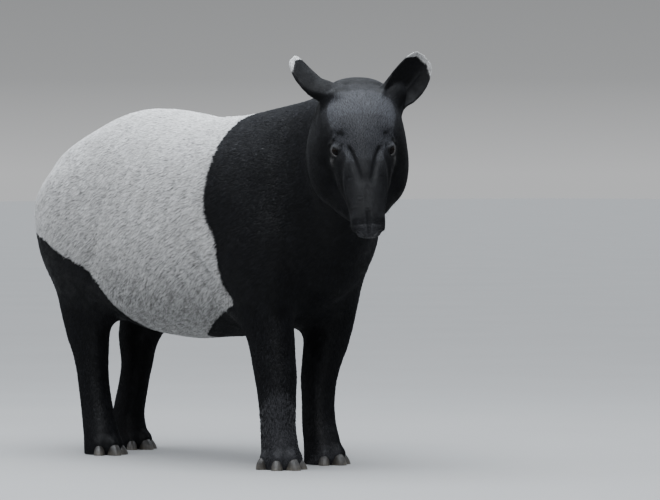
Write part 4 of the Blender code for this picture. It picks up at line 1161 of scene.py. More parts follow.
def measures(p):
    """Length and width of a tuft, and how many there are, by place."""
    h = in_head(p)
    s = (p - HEAD_PLANE[0]) @ HEAD_PLANE[1]
    head = step(s, -0.03, 0.06)
    length = 0.0165 - 0.0035 * step(p[:, 0], 0.30, 0.60)
    length = length * (1 - head) + 0.0095 * head
    length = length - (0.0035 * step(h[:, 0], 0.10, 0.26) + 0.0022 * step(h[:, 0], 0.36, 0.50)) * (s > 0)
    low = (1 - step(p[:, 2], 0.30, 0.55)) * (s < 0)
    length = length - 0.0040 * low - 0.0045 * (1 - step(p[:, 2], 0.05, 0.16)) * (s < 0)
    width = length * 0.165
    e, _, local = near_ear(p)
    length = length * (1 - e) + 0.0062 * e
    width = width * (1 - e) + 0.0012 * e
    many = 1.0 / np.clip(length * width, 1e-6, None)
    for k in skin_field.sockets:
        r = np.linalg.norm(p - k.c, axis=1)
        m = 1 - step(r, 0.022, 0.040)
        length = length * (1 - 0.42 * m)
        width = width * (1 - 0.42 * m)
        many = many * (1 + 0.9 * m)
    # bare places: inside the lids, nostrils, soles and the pad of the nose
    for k in skin_field.sockets:
        x, y, z, r = k.local(p)
        many = many * np.where((r < 0.03) & (z > 0), step(k.almond(x, y), 0.0012, 0.0030), 1)
    for w in (-1, 1):
        many = many * step(np.linalg.norm(h - np.array([0.527, w * 0.0235, -0.030]), axis=1), 0.011, 0.014)
    many = many * (1 - 0.85 * step(h[:, 0], 0.506, 0.532))
    many = many * step(p[:, 2], 0.004, 0.010)
    for name in FEET:
        for toe in toes(name):
            c, r, axes = hoof(*toe)
            q = np.linalg.norm(((p - c) @ axes.T) / r, axis=1)
            many = many * step(q, 0.98, 1.06)
    return length, width, many


def leg_middle(tube, z):
    c = tube.c[::-1]
    return np.interp(z, c[:, 2], c[:, 0]), np.interp(z, c[:, 2], c[:, 1])


LEGS = {("fore", -1): foreleg(-1), ("fore", 1): foreleg(1), ("hind", -1): hindleg(-1), ("hind", 1): hindleg(1)}


def chart(name, p):
    """Each root's place on the unwrapped skin of that piece."""
    h = in_head(p)
    if name.startswith("coat_saddle"):
        u, v = (p[:, 0] + 0.79) / 1.11, np.abs(round_angle(p)) / math.pi
    elif name in ("coat_fore", "coat_hind"):
        lo, hi = (-0.06, 0.72) if name == "coat_fore" else (-0.80, -0.10)
        u, v = round_angle(p) / (2 * math.pi) + 0.5, (p[:, 0] - lo) / (hi - lo)
    elif name.endswith("legs"):
        kind = name[5:9]
        u = np.zeros(len(p))
        for side in (-1, 1):
            m = p[:, 1] * side > 0
            x, y = leg_middle(LEGS[kind, side], p[m, 2])
            a = np.arctan2(p[m, 1] - y, p[m, 0] - x) / (2 * math.pi) + 0.5
            u[m] = (0.5 if side > 0 else 0.0) + 0.01 + 0.48 * a
        v = p[:, 2] / 0.46
    else:
        a = np.arctan2(h[:, 1], h[:, 2] + 0.035) / (2 * math.pi) + 0.5
        if name == "coat_face":
            r = np.hypot(h[:, 1], h[:, 2] + 0.03)
            along = h[:, 0] + np.maximum(0, 0.055 - r) * step(h[:, 0], 0.500, 0.515)
            u, v = a, (along - 0.16) / (0.60 - 0.16)
        else:
            e, which, local = near_ear(p)
            u, v = a, 0.66 * (h[:, 0] + 0.12) / 0.32
            for i, ear_i in enumerate(skin_field.ears):
                m = (e > 0.3) & (which == i)
                t = local[m, 0] / ear_i.size[0]
                w = local[m, 1] / np.maximum(ear_i.half(t), 0.004) / 2.3
                front = local[m, 2] > ear_i.mid(t, np.clip(local[m, 1] / np.maximum(ear_i.half(t), 0.004), -1, 1))
                u[m] = (2 * i + front + 0.5) / 4 + w * 0.23
                v[m] = 0.69 + 0.30 * np.clip((t + 0.2) / 1.25, 0, 1)
    return np.stack([np.clip(u, 0.004, 0.996), np.clip(v, 0.004, 0.996)], 1)


# ---------------------------------------------------------------- coat
def attribute(mesh, name, values, kind="FLOAT"):
    a = mesh.attributes.new(name, kind, "POINT")
    values = np.asarray(values, np.float32)
    a.data.foreach_set("value" if kind == "FLOAT" else "vector", values.ravel())


class Ground:
    """The skin's triangles and what is stored at its vertices."""

    def __init__(self, mesh):
        mesh.calc_loop_triangles()
        t = np.empty(len(mesh.loop_triangles) * 3, np.int32)
        mesh.loop_triangles.foreach_get("vertices", t)
        self.t = t.reshape(-1, 3)
        self.p = coords(mesh)
        self.n = unit(normals(mesh))
        a, b, c = (self.p[self.t[:, k]] for k in range(3))
        self.area = np.linalg.norm(np.cross(b - a, c - a), axis=1) / 2
        self.middle = (a + b + c) / 3
        self.length, self.width, self.many = measures(self.p)
        self.lie = lie(self.p)
        self.depth = depth(self.p)
        self.saddle = saddle(self.p)
        short = np.exp(-(self.saddle / 0.020) ** 2)
        self.length = self.length * (1 - 0.42 * short)
        self.width = self.width * (1 - 0.25 * short)
        self.many = self.many * (1 + 0.9 * short)
        self.grey, self.rim = by_eyes(self.p)
        self.share = self.many[self.t].mean(1)

    def piece(self):
        """Which coat piece each triangle belongs to."""
        c = self.middle
        s = (c - HEAD_PLANE[0]) @ HEAD_PLANE[1]
        h = in_head(c)
        d = self.saddle[self.t].mean(1)
        e = near_ear(c)[0]
        out = np.full(len(c), "coat_fore        ")
        pale = d > -0.006
        out[pale & (c[:, 1] < 0)] = "coat_saddle_right"
        out[pale & (c[:, 1] >= 0)] = "coat_saddle_left"
        back = (c[:, 0] < -0.09) & ~pale
        out[back] = "coat_hind"
        out[back & (c[:, 2] < 0.45)] = "coat_hindlegs"
        out[~back & ~pale & (c[:, 2] < 0.45) & (c[:, 0] > 0.20)] = "coat_forelegs"
        out[(s > 0) & (h[:, 0] <= 0.175)] = "coat_crown"
        out[e > 0.3] = "coat_crown"
        out[(s > 0) & (h[:, 0] > 0.175) & (e <= 0.3)] = "coat_face"
        return np.array([k.strip() for k in out])

    def at(self, values, tri, bary):
        return (values[self.t[tri]] * (bary[:, :, None] if values.ndim > 1 else bary)).sum(1)


# painted shade and highlight: the pale coat is painted lighter along the raised fold by the elbow, and darker in the
# crease behind it and in the hollow of the flank
FOLD_PAINTED_SHADE_AND_HIGHLIGHT = [Stroke([(x, s * y, z) for x, y, z in FLESH[i][0]], r, k, 0.2)
         for i, r, k in ((0, 0.0075, 0.34), (1, 0.0095, -0.34), (2, 0.0300, -0.12)) for s in (-1, 1)]


def clumps(p):
    """Noise drawn out along the lie of the coat, for locks that stand and sink together."""
    head = step((p - HEAD_PLANE[0]) @ HEAD_PLANE[1], -0.02, 0.02)
    low = (1 - step(p[:, 2], 0.36, 0.50)) * (1 - head)
    out = np.zeros(len(p))
    fine = 0.68
    for way, share, size in ((np.array([-0.85, 0.0, -0.527]), (1 - head) * (1 - low), 1.0), (np.array([0.0, 0.0, 1.0]), low, 0.8), (HEAD[0], head, 0.62)):
        m = share > 0
        q = p[m] - 0.55 * (p[m] @ way)[:, None] * way
        out[m] += share[m] * np.clip(wave(q, 0.0115 * size * fine, 31, 9) * 0.85 + wave(q, 0.026 * size * fine, 32, 7) * 0.35, -1, 1)
    return out


def spears(name, roots, tips, normal, side, width, ridge, data, uv):
    """Joined tufts: each a small ridged spear of three faces, its root in the skin and its tip lying over it."""
    n = len(roots)
    half = side * (width / 2)[:, None]
    sink = normal * 0.0007
    mid = roots * 0.56 + tips * 0.44 + normal * ridge[:, None]
    v = np.stack([roots - half - sink, roots + half - sink, mid, tips], 1).reshape(-1, 3)
    k = np.arange(n, dtype=np.int32)[:, None] * 4
    f = np.concatenate([k + [0, 1, 2], k + [0, 2, 3], k + [2, 1, 3]], 1).reshape(-1, 3).astype(np.int32)
    me = bpy.data.meshes.new(name)
    me.vertices.add(len(v))
    me.vertices.foreach_set("co", (v + OFFSET).astype(np.float32).ravel())
    me.loops.add(f.size)
    me.loops.foreach_set("vertex_index", f.ravel())
    me.polygons.add(len(f))
    me.polygons.foreach_set("loop_start", np.arange(0, f.size, 3, dtype=np.int32))
    me.update(calc_edges=True)
    me.shade_smooth()
    spread = np.array([(-0.0015, -0.0015), (0.0015, -0.0015), (0.0, 0.0002), (0.0, 0.0015)])
    at = (uv[:, None, :] + spread[None]).reshape(-1, 2)
    me.uv_layers.new(name="OFBake").data.foreach_set("uv", at[f.ravel()].astype(np.float32).ravel())
    for key, values in data.items():
        attribute(me, key, np.repeat(values, 4))
    attribute(me, "along", np.tile([0.0, 0.0, 0.5, 1.0], n))
    return new_object(name, me)


def scatter(ground, piece, name, count, tree, seed):
    rng = np.random.default_rng(seed)
    tri = np.nonzero(piece == name)[0]
    cum = np.cumsum(ground.area[tri] * ground.share[tri])
    pick = (np.arange(count) + rng.random(count)) / count * cum[-1]
    tri = tri[np.minimum(np.searchsorted(cum, pick), len(tri) - 1)]
    r1, r2 = np.sqrt(rng.random(count)), rng.random(count)
    bary = np.stack([1 - r1, r1 * (1 - r2), r1 * r2], 1)
    p = ground.at(ground.p, tri, bary)
    n = unit(ground.at(ground.n, tri, bary))
    many = ground.at(ground.many, tri, bary) / np.maximum(ground.share[tri], 1e-6)
    keep = many > 0.25
    p, n, tri, bary = p[keep], n[keep], tri[keep], bary[keep]
    count = len(p)
    way = ground.at(ground.lie, tri, bary)
    way = way - (way * n).sum(1)[:, None] * n
    way = unit(way + 1e-9)
    turn = 0.20 * wave(p, 0.060, 21) + 0.16 * wave(p, 0.022, 22) + 0.12 * rng.normal(size=count)
    clump = clumps(p)
    side = np.cross(n, way)
    way = way * np.cos(turn)[:, None] + side * np.sin(turn)[:, None]
    side = np.cross(n, way)
    length = ground.at(ground.length, tri, bary) * rng.uniform(0.72, 1.25, count)
    width = ground.at(ground.width, tri, bary) * rng.uniform(0.75, 1.25, count)
    high = ground.at(ground.depth, tri, bary)
    lift = np.maximum(high * np.clip(0.60 + 0.12 * rng.normal(size=count) + 0.30 * clump, 0.18, 1.0), 0.0008)
    tips = p + way * length[:, None]
    for i in range(count):
        at, nn, _, _ = tree.find_nearest(tips[i])
        tips[i] = (at[0] + nn[0] * lift[i], at[1] + nn[1] * lift[i], at[2] + nn[2] * lift[i])
    tips[:, 2] = np.maximum(tips[:, 2], 0.0012)
    roll = 0.22 * rng.normal(size=count)
    side = side * np.cos(roll)[:, None] + n * np.sin(roll)[:, None]
    edge = ground.at(ground.saddle, tri, bary) + 0.0022 * rng.normal(size=count) + 0.0012 * wave(p, 0.028, 24)
    white = (edge > 0).astype(float)
    rim = ear_rim(p)
    white = np.maximum(white, (rim > rng.random(count) * 0.8 + 0.1).astype(float))
    grey = np.clip(ground.at(ground.grey, tri, bary) * (0.6 + 0.7 * rng.random(count)), 0, 1)
    h = in_head(p)
    head = step((p - HEAD_PLANE[0]) @ HEAD_PLANE[1], 0.0, 0.10)
    # painted sheen: on the head, tufts that face up and forward, towards the light, are painted lighter, less so on
    # the nose and near the ear roots
    face = step(n @ unit(0.62 * HEAD[2] + 0.30 * HEAD[0] + np.array([0, 0, 0.55])), 0.30, 0.88) * step(near_ear(p)[0], 1.0, 0.3)
    face = 0.60 * face * (1 - 0.76 * step(h[:, 0], 0.22, 0.40)) * (0.50 + 0.50 * step(h[:, 0], 0.02, 0.17))
    for e in skin_field.ears:
        face = face * (1 - 0.85 * np.exp(-((p - e.base) ** 2).sum(1) / 0.042**2))
    # painted sheen: on the body, tufts that face up are painted lighter as well
    painted_sky_sheen = step(n[:, 2], 0.10, 0.75) * 0.16 * (1 - head) * step(p[:, 2], 0.40, 0.60) + face * head
    # tone follows the clump noise that also sets each lock's lift, so raised locks are painted lighter and sunk ones
    # darker: painted shade, on top of random tone
    tone = 0.50 + 0.34 * clump + 0.28 * (rng.random(count) - 0.5) * 2 + 0.08 * wave(p, 0.045, 25)
    # painted shade: the pale coat is darker low down, towards the belly
    tone = tone - 0.27 * (1 - step(p[:, 2], 0.36, 0.68)) * white
    # painted shade and highlight from the folds, on the pale coat only
    tone = np.clip(tone + sum(k(p) for k in FOLD_PAINTED_SHADE_AND_HIGHLIGHT) * white, 0, 0.86 + 0.14 * white)
    # painted glint: how strongly each tuft takes the painted sheen
    painted_glint = np.clip(0.52 + 0.12 * clump + 0.44 * (rng.random(count) - 0.5), 0.05, 1)
    painted_sky_sheen = painted_sky_sheen * (1 - white)
    # painted sheen and glint: the lit dark tufts are pushed into the top of the dark ramp, whose last stop is the
    # painted sheen colour
    tone = tone + (0.87 - tone) * np.clip(2.6 * painted_sky_sheen, 0, 1)
    tone = np.clip(tone + 0.13 * painted_sky_sheen * painted_glint, 0, 1)
    ob = spears(name, p, tips, n, side, width, np.maximum(0.30 * high, 0.0007) + 0.10 * width, {"white": white, "tone": tone, "grey": grey}, chart(name, p))
    return ob


# ---------------------------------------------------------------- materials
def nodes_of(name):
    m = bpy.data.materials.new(name)
    m.use_nodes = True
    t = m.node_tree
    return m, t, t.nodes["Principled BSDF"]


def node(t, kind, **values):
    n = t.nodes.new(kind)
    for k, v in values.items():
        setattr(n, k, v)
    return n


def link(t, a, b):
    t.links.new(a, b)


def read(t, name):
    n = node(t, "ShaderNodeAttribute", attribute_name=name)
    return n.outputs["Fac"]


def math_node(t, op, a, b=None, c=None, clamp=False):
    n = node(t, "ShaderNodeMath", operation=op, use_clamp=clamp)
    for i, v in enumerate((a, b, c)):
        if v is None:
            continue
        if isinstance(v, (int, float)):
            n.inputs[i].default_value = v
        else:
            link(t, v, n.inputs[i])
    return n.outputs[0]


def noise(t, scale, detail=2.0, rough=0.5, stretch=None):
    c = node(t, "ShaderNodeTexCoord").outputs["Object"]
    if stretch:
        mp = node(t, "ShaderNodeMapping")
        mp.inputs["Scale"].default_value = stretch
        link(t, c, mp.inputs["Vector"])
        c = mp.outputs["Vector"]
    n = node(t, "ShaderNodeTexNoise")
    n.inputs["Scale"].default_value = scale
    n.inputs["Detail"].default_value = detail
    n.inputs["Roughness"].default_value = rough
    link(t, c, n.inputs["Vector"])
    return n.outputs["Fac"]


def ramp(t, fac, stops, mode="LINEAR"):
    n = node(t, "ShaderNodeValToRGB")
    r = n.color_ramp
    r.interpolation = mode
    while len(r.elements) < len(stops):
        r.elements.new(0.5)
    for e, (pos, col) in zip(r.elements, stops):
        e.position = pos
        e.color = (*col, 1) if len(col) == 3 else col
    link(t, fac, n.inputs["Fac"])
    return n.outputs["Color"]


def mix(t, fac, a, b, kind="MIX"):
    n = node(t, "ShaderNodeMix", data_type="RGBA", blend_type=kind)
    for sock, v in ((n.inputs[0], fac), (n.inputs[6], a), (n.inputs[7], b)):
        if isinstance(v, (int, float)):
            sock.default_value = v
        elif isinstance(v, tuple):
            sock.default_value = (*v, 1)
        else:
            link(t, v, sock)
    return n.outputs[2]


def bump(t, height, strength, distance, base=None):
    n = node(t, "ShaderNodeBump")
    n.inputs["Strength"].default_value = strength
    n.inputs["Distance"].default_value = distance
    link(t, height, n.inputs["Height"])
    if base is not None:
        link(t, base, n.inputs["Normal"])
    return n.outputs["Normal"]


def fit(t, value, lo, hi, a, b):
    n = node(t, "ShaderNodeMapRange")
    for i, v in enumerate((lo, hi, a, b)):
        n.inputs[1 + i].default_value = v
    link(t, value, n.inputs[0])
    return n.outputs[0]


def coat_material():
    m, t, s = nodes_of("coat_hair")
    tone, along = read(t, "tone"), read(t, "along")
    # the dark ramp's stop at 1.0 is the bluish painted sheen colour; only tufts given painted sheen in scatter reach
    # past 0.87
    dark = ramp(t, tone, [(0.0, (0.0012, 0.0013, 0.0017)), (0.55, (0.0036, 0.0038, 0.0048)), (0.87, (0.0110, 0.0115, 0.0142)), (1.0, (0.205, 0.212, 0.240))])
    pale = ramp(t, tone, [(0.0, (0.15, 0.147, 0.142)), (0.25, (0.42, 0.418, 0.412)), (0.55, (0.70, 0.698, 0.695)), (1.0, (0.87, 0.870, 0.872))])
    patch = noise(t, 9.0, 3.0)
    pale = mix(t, fit(t, patch, 0.35, 0.75, 0.0, 0.30), pale, (0.50, 0.49, 0.47))
    c = mix(t, read(t, "white"), dark, pale)
    c = mix(t, read(t, "grey"), c, (0.115, 0.112, 0.110))
    # painted shade: each tuft is darker at its root, where the coat over it shades it, and full colour towards its tip
    painted_root_shade = fit(t, along, 0.0, 0.8, 0.34, 1.0)
    c = mix(t, 1.0, c, ramp(t, painted_root_shade, [(0.0, (0, 0, 0)), (1.0, (1, 1, 1))]), "MULTIPLY")
    link(t, c, s.inputs["Base Color"])
    link(t, fit(t, noise(t, 60.0, 2.0), 0.3, 0.7, 0.42, 0.60), s.inputs["Roughness"])
    s.inputs["Specular IOR Level"].default_value = 0.17
    s.inputs["Sheen Weight"].default_value = 0.01
    s.inputs["Sheen Roughness"].default_value = 0.40
    return m


def skin_material():
    m, t, s = nodes_of("skin_and_short_fur")
    edge = read(t, "saddle")
    fuzz = noise(t, 180.0, 2.0)
    wide = noise(t, 32.0, 2.0)
    e = math_node(t, "ADD", edge, math_node(t, "MULTIPLY", math_node(t, "SUBTRACT", fuzz, 0.5), 0.004))
    e = math_node(t, "ADD", e, math_node(t, "MULTIPLY", math_node(t, "SUBTRACT", wide, 0.5), 0.003))
    white = fit(t, e, -0.0018, 0.0018, 0.0, 1.0)
    white = math_node(t, "MAXIMUM", white, read(t, "ear_rim"))
    fine = noise(t, 420.0, 3.0, 0.6)
    dark = ramp(t, fine, [(0.3, (0.0010, 0.0010, 0.0013)), (0.62, (0.0028, 0.0029, 0.0036)), (0.75, (0.0055, 0.0056, 0.0070))])
    pale = ramp(t, fine, [(0.3, (0.13, 0.125, 0.120)), (0.7, (0.30, 0.292, 0.284))])
    c = mix(t, white, dark, pale)
    c = mix(t, read(t, "grey"), c, (0.10, 0.097, 0.095))
    bare = read(t, "bare")
    leather = ramp(t, noise(t, 240.0, 3.0), [(0.35, (0.012, 0.0120, 0.0134)), (0.65, (0.030, 0.0300, 0.0335))])
    c = mix(t, bare, c, leather)
    c = mix(t, read(t, "lid_rim"), c, (0.26, 0.245, 0.24))
    link(t, c, s.inputs["Base Color"])
    r = fit(t, noise(t, 150.0, 2.0), 0.3, 0.7, 0.45, 0.65)
    wet = math_node(t, "MULTIPLY", read(t, "lid_rim"), -0.22)
    nose = math_node(t, "MULTIPLY", bare, -0.08)
    link(t, math_node(t, "ADD", math_node(t, "ADD", r, wet), nose, clamp=True), s.inputs["Roughness"])
    s.inputs["Specular IOR Level"].default_value = 0.15
    v = node(t, "ShaderNodeTexVoronoi", feature="DISTANCE_TO_EDGE")
    v.inputs["Scale"].default_value = 330.0
    link(t, node(t, "ShaderNodeTexCoord").outputs["Object"], v.inputs["Vector"])
    n1 = bump(t, noise(t, 700.0, 2.0), 0.35, 0.0008)
    n2 = bump(t, math_node(t, "MINIMUM", v.outputs["Distance"], 0.12), 0.55, 0.0010, n1)
    n3 = bump(t, noise(t, 110.0, 3.0), 0.35, 0.0012, n2)
    link(t, n3, s.inputs["Normal"])
    return m


def eye_material():
    m, t, s = nodes_of("eye_wet")
    turn = read(t, "turn")          # degrees from the pupil's middle
    slot_shape = read(t, "pupil")   # under 1 inside the pupil
    fibre = noise(t, 900.0, 3.0, 0.6)
    iris = ramp(t, fibre, [(0.30, (0.0020, 0.0014, 0.0012)), (0.55, (0.0050, 0.0032, 0.0024)), (0.75, (0.011, 0.0070, 0.0048))])
    limbus = ramp(t, fit(t, turn, 46.0, 58.0, 0.0, 1.0), [(0.0, (1, 1, 1)), (0.55, (0.30, 0.30, 0.30)), (1.0, (0.15, 0.15, 0.15))])
    iris = mix(t, 1.0, iris, limbus, "MULTIPLY")
    white = ramp(t, fibre, [(0.3, (0.010, 0.0080, 0.0072)), (0.7, (0.024, 0.020, 0.018))])
    c = mix(t, fit(t, turn, 56.0, 64.0, 0.0, 1.0), iris, white)
    c = mix(t, fit(t, slot_shape, 0.92, 1.08, 1.0, 0.0), c, (0.0015, 0.0015, 0.0018))
    link(t, c, s.inputs["Base Color"])
    link(t, fit(t, noise(t, 300.0), 0.3, 0.7, 0.03, 0.07), s.inputs["Roughness"])
    s.inputs["IOR"].default_value = 1.38
    s.inputs["Specular IOR Level"].default_value = 0.12
    link(t, bump(t, noise(t, 260.0, 2.0), 0.04, 0.0004), s.inputs["Normal"])
    return m


def horn_material():
    m, t, s = nodes_of("hoof_horn_worn")
    streak = noise(t, 55.0, 3.0, 0.6, (3.0, 3.0, 0.35))
    rings = noise(t, 40.0, 2.0, 0.5, (0.6, 0.6, 7.0))
    c = ramp(t, streak, [(0.28, (0.0060, 0.0054, 0.0048)), (0.55, (0.016, 0.014, 0.012)), (0.78, (0.038, 0.033, 0.028))])
    tip = fit(t, read(t, "level"), 0.002, 0.020, 1.0, 0.0)
    tip = math_node(t, "MULTIPLY", tip, fit(t, noise(t, 90.0, 2.0), 0.35, 0.65, 0.35, 1.0))
    c = mix(t, tip, c, (0.090, 0.080, 0.066))
    link(t, c, s.inputs["Base Color"])
    link(t, fit(t, rings, 0.3, 0.7, 0.34, 0.55), s.inputs["Roughness"])
    n1 = bump(t, streak, 0.35, 0.0008)
    link(t, bump(t, rings, 0.45, 0.0010, n1), s.inputs["Normal"])
    return m


MAT_COAT, MAT_SKIN, MAT_EYE, MAT_HORN = coat_material(), skin_material(), eye_material(), horn_material()


# ---------------------------------------------------------------- pieces
def eyeball(socket, name):
    """Globe with a cornea, looking a little forward."""
    look = unit(socket.n + 0.45 * HEAD[0])
    u = unit(socket.u - look * (socket.u @ look))
    v = np.cross(look, u)
    if v @ HEAD[2] < 0:
        v = -v
    rows, cols = 44, 56
    ang = np.concatenate([np.linspace(0, 50, 28), np.linspace(54, 180, rows - 28)]) * math.pi / 180
    pts = []
    for a in ang:
        rise = 0.0012 * step(np.array([52.0 - math.degrees(a)]), 0, 26)[0]
        r = R_E + rise
        for k in range(cols):
            b = 2 * math.pi * k / cols
            pts.append(r * (math.cos(a) * look + math.sin(a) * (math.cos(b) * u + math.sin(b) * v)))
    pts = np.array(pts) + socket.c
    faces = []
    for i in range(rows - 1):
        for k in range(cols):
            j = (k + 1) % cols
            faces.append((i * cols + k, (i + 1) * cols + k, (i + 1) * cols + j, i * cols + j))
    me = bpy.data.meshes.new(name)
    me.from_pydata((pts + OFFSET).tolist(), [], faces)
    bm = bmesh.new()
    bm.from_mesh(me)
    bmesh.ops.remove_doubles(bm, verts=bm.verts, dist=0.00001)
    bmesh.ops.recalc_face_normals(bm, faces=bm.faces)
    bm.to_mesh(me)
    bm.free()
    q = (coords(me) - OFFSET - socket.c)
    x, y, z = q @ u, q @ v, q @ look
    attribute(me, "turn", np.degrees(np.arctan2(np.hypot(x, y), z)))
    attribute(me, "pupil", np.where(z > 0, np.hypot(x / 0.0042, y / 0.0034), 9.0))
    me.shade_smooth()
    return new_object(name, me)


def hooves(foot):
    """The hooves of one foot, with growth rings, cut flat where they stand."""
    bm = bmesh.new()
    for toe in toes(foot):
        c, r, axes = hoof(*toe)
        b2 = bmesh.new()
        bmesh.ops.create_uvsphere(b2, u_segments=44, v_segments=30, radius=1)
        for v in b2.verts:
            q = np.array(v.co)
            ring = 1 + 0.010 * math.sin(q[2] * 34 + 1.5 * math.sin(3 * math.atan2(q[1], q[0]))) * (1 - abs(q[2]))
            groove = 1 - 0.012 * math.exp(-(q[1] / 0.10) ** 2) * (q[0] > 0)
            square = 1 + 0.05 * (abs(q[0]) * abs(q[1])) ** 0.8
            q = q * np.array([ring * groove * square, ring * square, 1.0])
            q = (q * (np.array(r) - 0.0002)) @ axes + c
            v.co = Vector(q)
        part = bpy.data.meshes.new("part")
        b2.to_mesh(part)
        b2.free()
        bm.from_mesh(part)
        bpy.data.meshes.remove(part)
    cut = bmesh.ops.bisect_plane(bm, geom=bm.verts[:] + bm.edges[:] + bm.faces[:], plane_co=(0, 0, 0.0001), plane_no=(0, 0, 1), clear_inner=True)
    edges = [e for e in cut["geom_cut"] if isinstance(e, bmesh.types.BMEdge)]
    bmesh.ops.holes_fill(bm, edges=edges)
    bmesh.ops.recalc_face_normals(bm, faces=bm.faces)
    me = bpy.data.meshes.new("hooves_" + foot)
    bm.to_mesh(me)
    bm.free()
    p = coords(me)
    attribute(me, "level", p[:, 2])
    put(me, p + OFFSET)
    me.shade_smooth()
    me.set_sharp_from_angle(angle=math.radians(50))
    return new_object("hooves_" + foot, me)


def lashes_and_whiskers(name, seed=77):
    """Short lashes on the upper lids and sparse bristles round the lips, each a slim spear."""
    rng = np.random.default_rng(seed)
    root, tip, nor, wid = [], [], [], []
    for k in skin_field.sockets:
        l, hu, hl = ALMOND
        for i, s in enumerate(np.linspace(-0.90, 0.86, 34)):
            x, y = s * l, hu * (1 - s * s) + 0.0012
            z = math.sqrt(max((R_E + LID - 0.0006) ** 2 - x * x - y * y, 1e-6))
            p = k.c + x * k.u + y * k.v + z * k.n
            d = unit(k.n * 0.75 + k.v * (0.10 + 0.1 * rng.normal()) + k.u * (0.45 * s + 0.10 * rng.normal()))
            long = 0.0075 * (0.75 + 0.5 * rng.random())
            root.append(p); tip.append(p + d * long - k.v * 0.0012); nor.append(k.v); wid.append(0.00055)
    spots = [(0.498, 0.040, -0.040), (0.470, 0.047, -0.045), (0.440, 0.048, -0.052), (0.400, 0.052, -0.072), (0.350, 0.070, -0.095), (0.412, 0.020, -0.100), (0.300, 0.100, -0.100)]
    for s in (-1, 1):
        for a, w, b in spots:
            for _ in range(9):
                q = on_head(a + 0.014 * rng.normal(), s * (w + 0.006 * rng.normal()), b + 0.007 * rng.normal())
                q = settle(skin_field, q[None], level=-0.001, rounds=5)[0]
                n = unit(gradient(skin_field, q[None])[0])
                d = unit(n * 0.55 + HEAD[0] * 0.35 - HEAD[2] * 0.35 + 0.25 * rng.normal(size=3))
                root.append(q); tip.append(q + d * (0.010 + 0.009 * rng.random())); nor.append(n); wid.append(0.00045)
    root, tip, nor, wid = map(np.array, (root, tip, nor, wid))
    way = unit(tip - root)
    side = unit(np.cross(nor, way))
    n = len(root)
    data = {"white": np.zeros(n), "tone": rng.uniform(0.1, 0.6, n), "grey": np.zeros(n)}
    return spears(name, root, tip, nor, side, wid, np.full(n, 0.0003), data, chart("coat_face", root))


def record_skin(mesh, ground):
    h = in_head(ground.p)
    bare = step(h[:, 0], 0.476, 0.510)
    for w in (-1, 1):
        bare = np.maximum(bare, 1 - step(np.linalg.norm(h - np.array([0.527, w * 0.0235, -0.030]), axis=1), 0.010, 0.016))
    for k in skin_field.sockets:
        x, y, z, r = k.local(ground.p)
        bare = np.maximum(bare, (1 - step(k.almond(x, y), 0.0006, 0.0026)) * (r < 0.032) * (z > 0))
    bare = np.maximum(bare, (1 - step(ground.p[:, 2], 0.003, 0.007)))
    for key, values in (("saddle", ground.saddle), ("ear_rim", ear_rim(ground.p)), ("grey", ground.grey), ("lid_rim", ground.rim), ("bare", bare)):
        attribute(mesh, key, values)


ground = Ground(skin.data)
record_skin(skin.data, ground)
tree = BVHTree.FromPolygons(ground.p.tolist(), ground.t.tolist())
print("ground", round(time.time() - T0, 1))
piece = ground.piece()
coats = []
for i, (name, count) in enumerate(TUFTS.items()):
    coats.append(scatter(ground, piece, name, count, tree, 100 + i))
    print(name, len(coats[-1].data.polygons), int((piece == name).sum()), round(float(ground.area[piece == name].sum()), 3), round(time.time() - T0, 1))
coats.append(lashes_and_whiskers("lashes_and_bristles"))
put(skin.data, ground.p + OFFSET)
skin.data.shade_smooth()
skin.data.materials.clear()
skin.data.materials.append(MAT_SKIN)
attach(skin, "root")
FLESH_NODES = [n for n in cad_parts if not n.startswith(("eye_", "hoof_"))]
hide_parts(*FLESH_NODES)
for ob in coats:
    ob.data.materials.append(MAT_COAT)
    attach(ob, "root")
for socket, tag in zip(skin_field.sockets, ("left", "right")):
    ob = eyeball(socket, "eyeball_" + tag)
    ob.data.materials.append(MAT_EYE)
    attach(ob, "root")
    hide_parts("eye_" + tag)
for foot in FEET:
    ob = hooves(foot)
    ob.data.materials.append(MAT_HORN)
    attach(ob, "root")
    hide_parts(*[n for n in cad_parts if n.startswith("hoof_" + foot)])

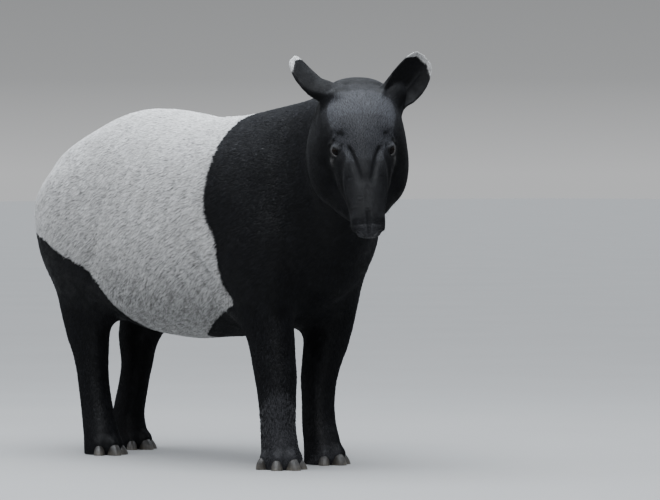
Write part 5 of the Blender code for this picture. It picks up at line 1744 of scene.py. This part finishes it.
# ---------------------------------------------------------------- floor, light and camera
me = bpy.data.meshes.new("floor")
me.from_pydata([(-90, -90, 0), (90, -90, 0), (90, 90, 0), (-90, 90, 0)], [], [(0, 1, 2, 3)])
floor = new_object("floor", me)
m, t, s = nodes_of("floor_plain")
link(t, ramp(t, noise(t, 1.3, 2.0), [(0.3, (0.300, 0.300, 0.299)), (0.7, (0.312, 0.312, 0.311))]), s.inputs["Base Color"])
s.inputs["Roughness"].default_value = 0.85
s.inputs["Specular IOR Level"].default_value = 0.2
floor.data.materials.append(m)
floor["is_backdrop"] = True

world = bpy.data.worlds.new("studio")
bpy.context.scene.world = world
world.use_nodes = True
t = world.node_tree
up = node(t, "ShaderNodeSeparateXYZ")
link(t, node(t, "ShaderNodeTexCoord").outputs["Generated"], up.inputs[0])
sky = ramp(t, up.outputs["Z"], [(0.0, (0.190, 0.192, 0.195)), (0.024, (0.118, 0.120, 0.122)), (0.11, (0.060, 0.062, 0.064)), (0.40, (0.15, 0.157, 0.168)), (0.72, (0.62, 0.66, 0.72)), (1.0, (0.93, 0.97, 1.0))])
link(t, sky, t.nodes["Background"].inputs["Color"])
t.nodes["Background"].inputs["Strength"].default_value = 3.0


def lamp(name, at, target, size, power, colour):
    data = bpy.data.lights.new(name, "AREA")
    data.shape = "RECTANGLE"
    data.size, data.size_y = size
    data.energy = power
    data.color = colour
    ob = bpy.data.objects.new(name, data)
    bpy.context.scene.collection.objects.link(ob)
    ob.location = at
    ob.rotation_euler = (Vector(target) - Vector(at)).to_track_quat("-Z", "Y").to_euler()
    return ob


lamp("sky_panel", (0.3, -0.7, 4.4), (0.0, 0.0, 0.6), (4.4, 3.8), 260, (0.88, 0.94, 1.0))
lamp("front_panel", (3.3, -3.3, 4.6), (0.4, -0.1, 0.8), (2.4, 2.4), 130, (0.95, 0.97, 1.0))
lamp("side_panel", (-2.4, -4.2, 3.8), (-0.2, 0.0, 0.7), (2.2, 2.0), 50, (0.97, 0.98, 1.0))

AZ, FAR, HIGH, TX, HORIZON, FOCAL = 50.0, 12.0, 0.85, 225.0, 173.5, 4044.0
a = math.radians(AZ)
back = Vector((math.sin(a), -math.cos(a), 0))
place = back * FAR + Vector((0, 0, HIGH)) + Vector(OFFSET)
forward = Matrix.Rotation(math.atan((TX - 330) / FOCAL), 3, "Z") @ -back
right = forward.cross(Vector((0, 0, 1))).normalized()
forward = (Matrix.Rotation(-math.atan((250 - HORIZON) / FOCAL), 3, right) @ forward).normalized()
turned = Matrix((right, right.cross(forward), -forward)).transposed()
camera = bpy.data.cameras.new("camera")
camera.lens, camera.sensor_width = FOCAL * 36 / 660, 36.0
camera.clip_start, camera.clip_end = 0.1, 300.0
cam = bpy.data.objects.new("camera", camera)
bpy.context.scene.collection.objects.link(cam)
cam.matrix_world = Matrix.Translation(place) @ turned.to_4x4()
bpy.context.scene.camera = cam

bpy.context.view_layer.update()
LOOK_BOX = [[float(c) for c in v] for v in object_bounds()]
print("all", round(time.time() - T0, 1), LOOK_BOX)
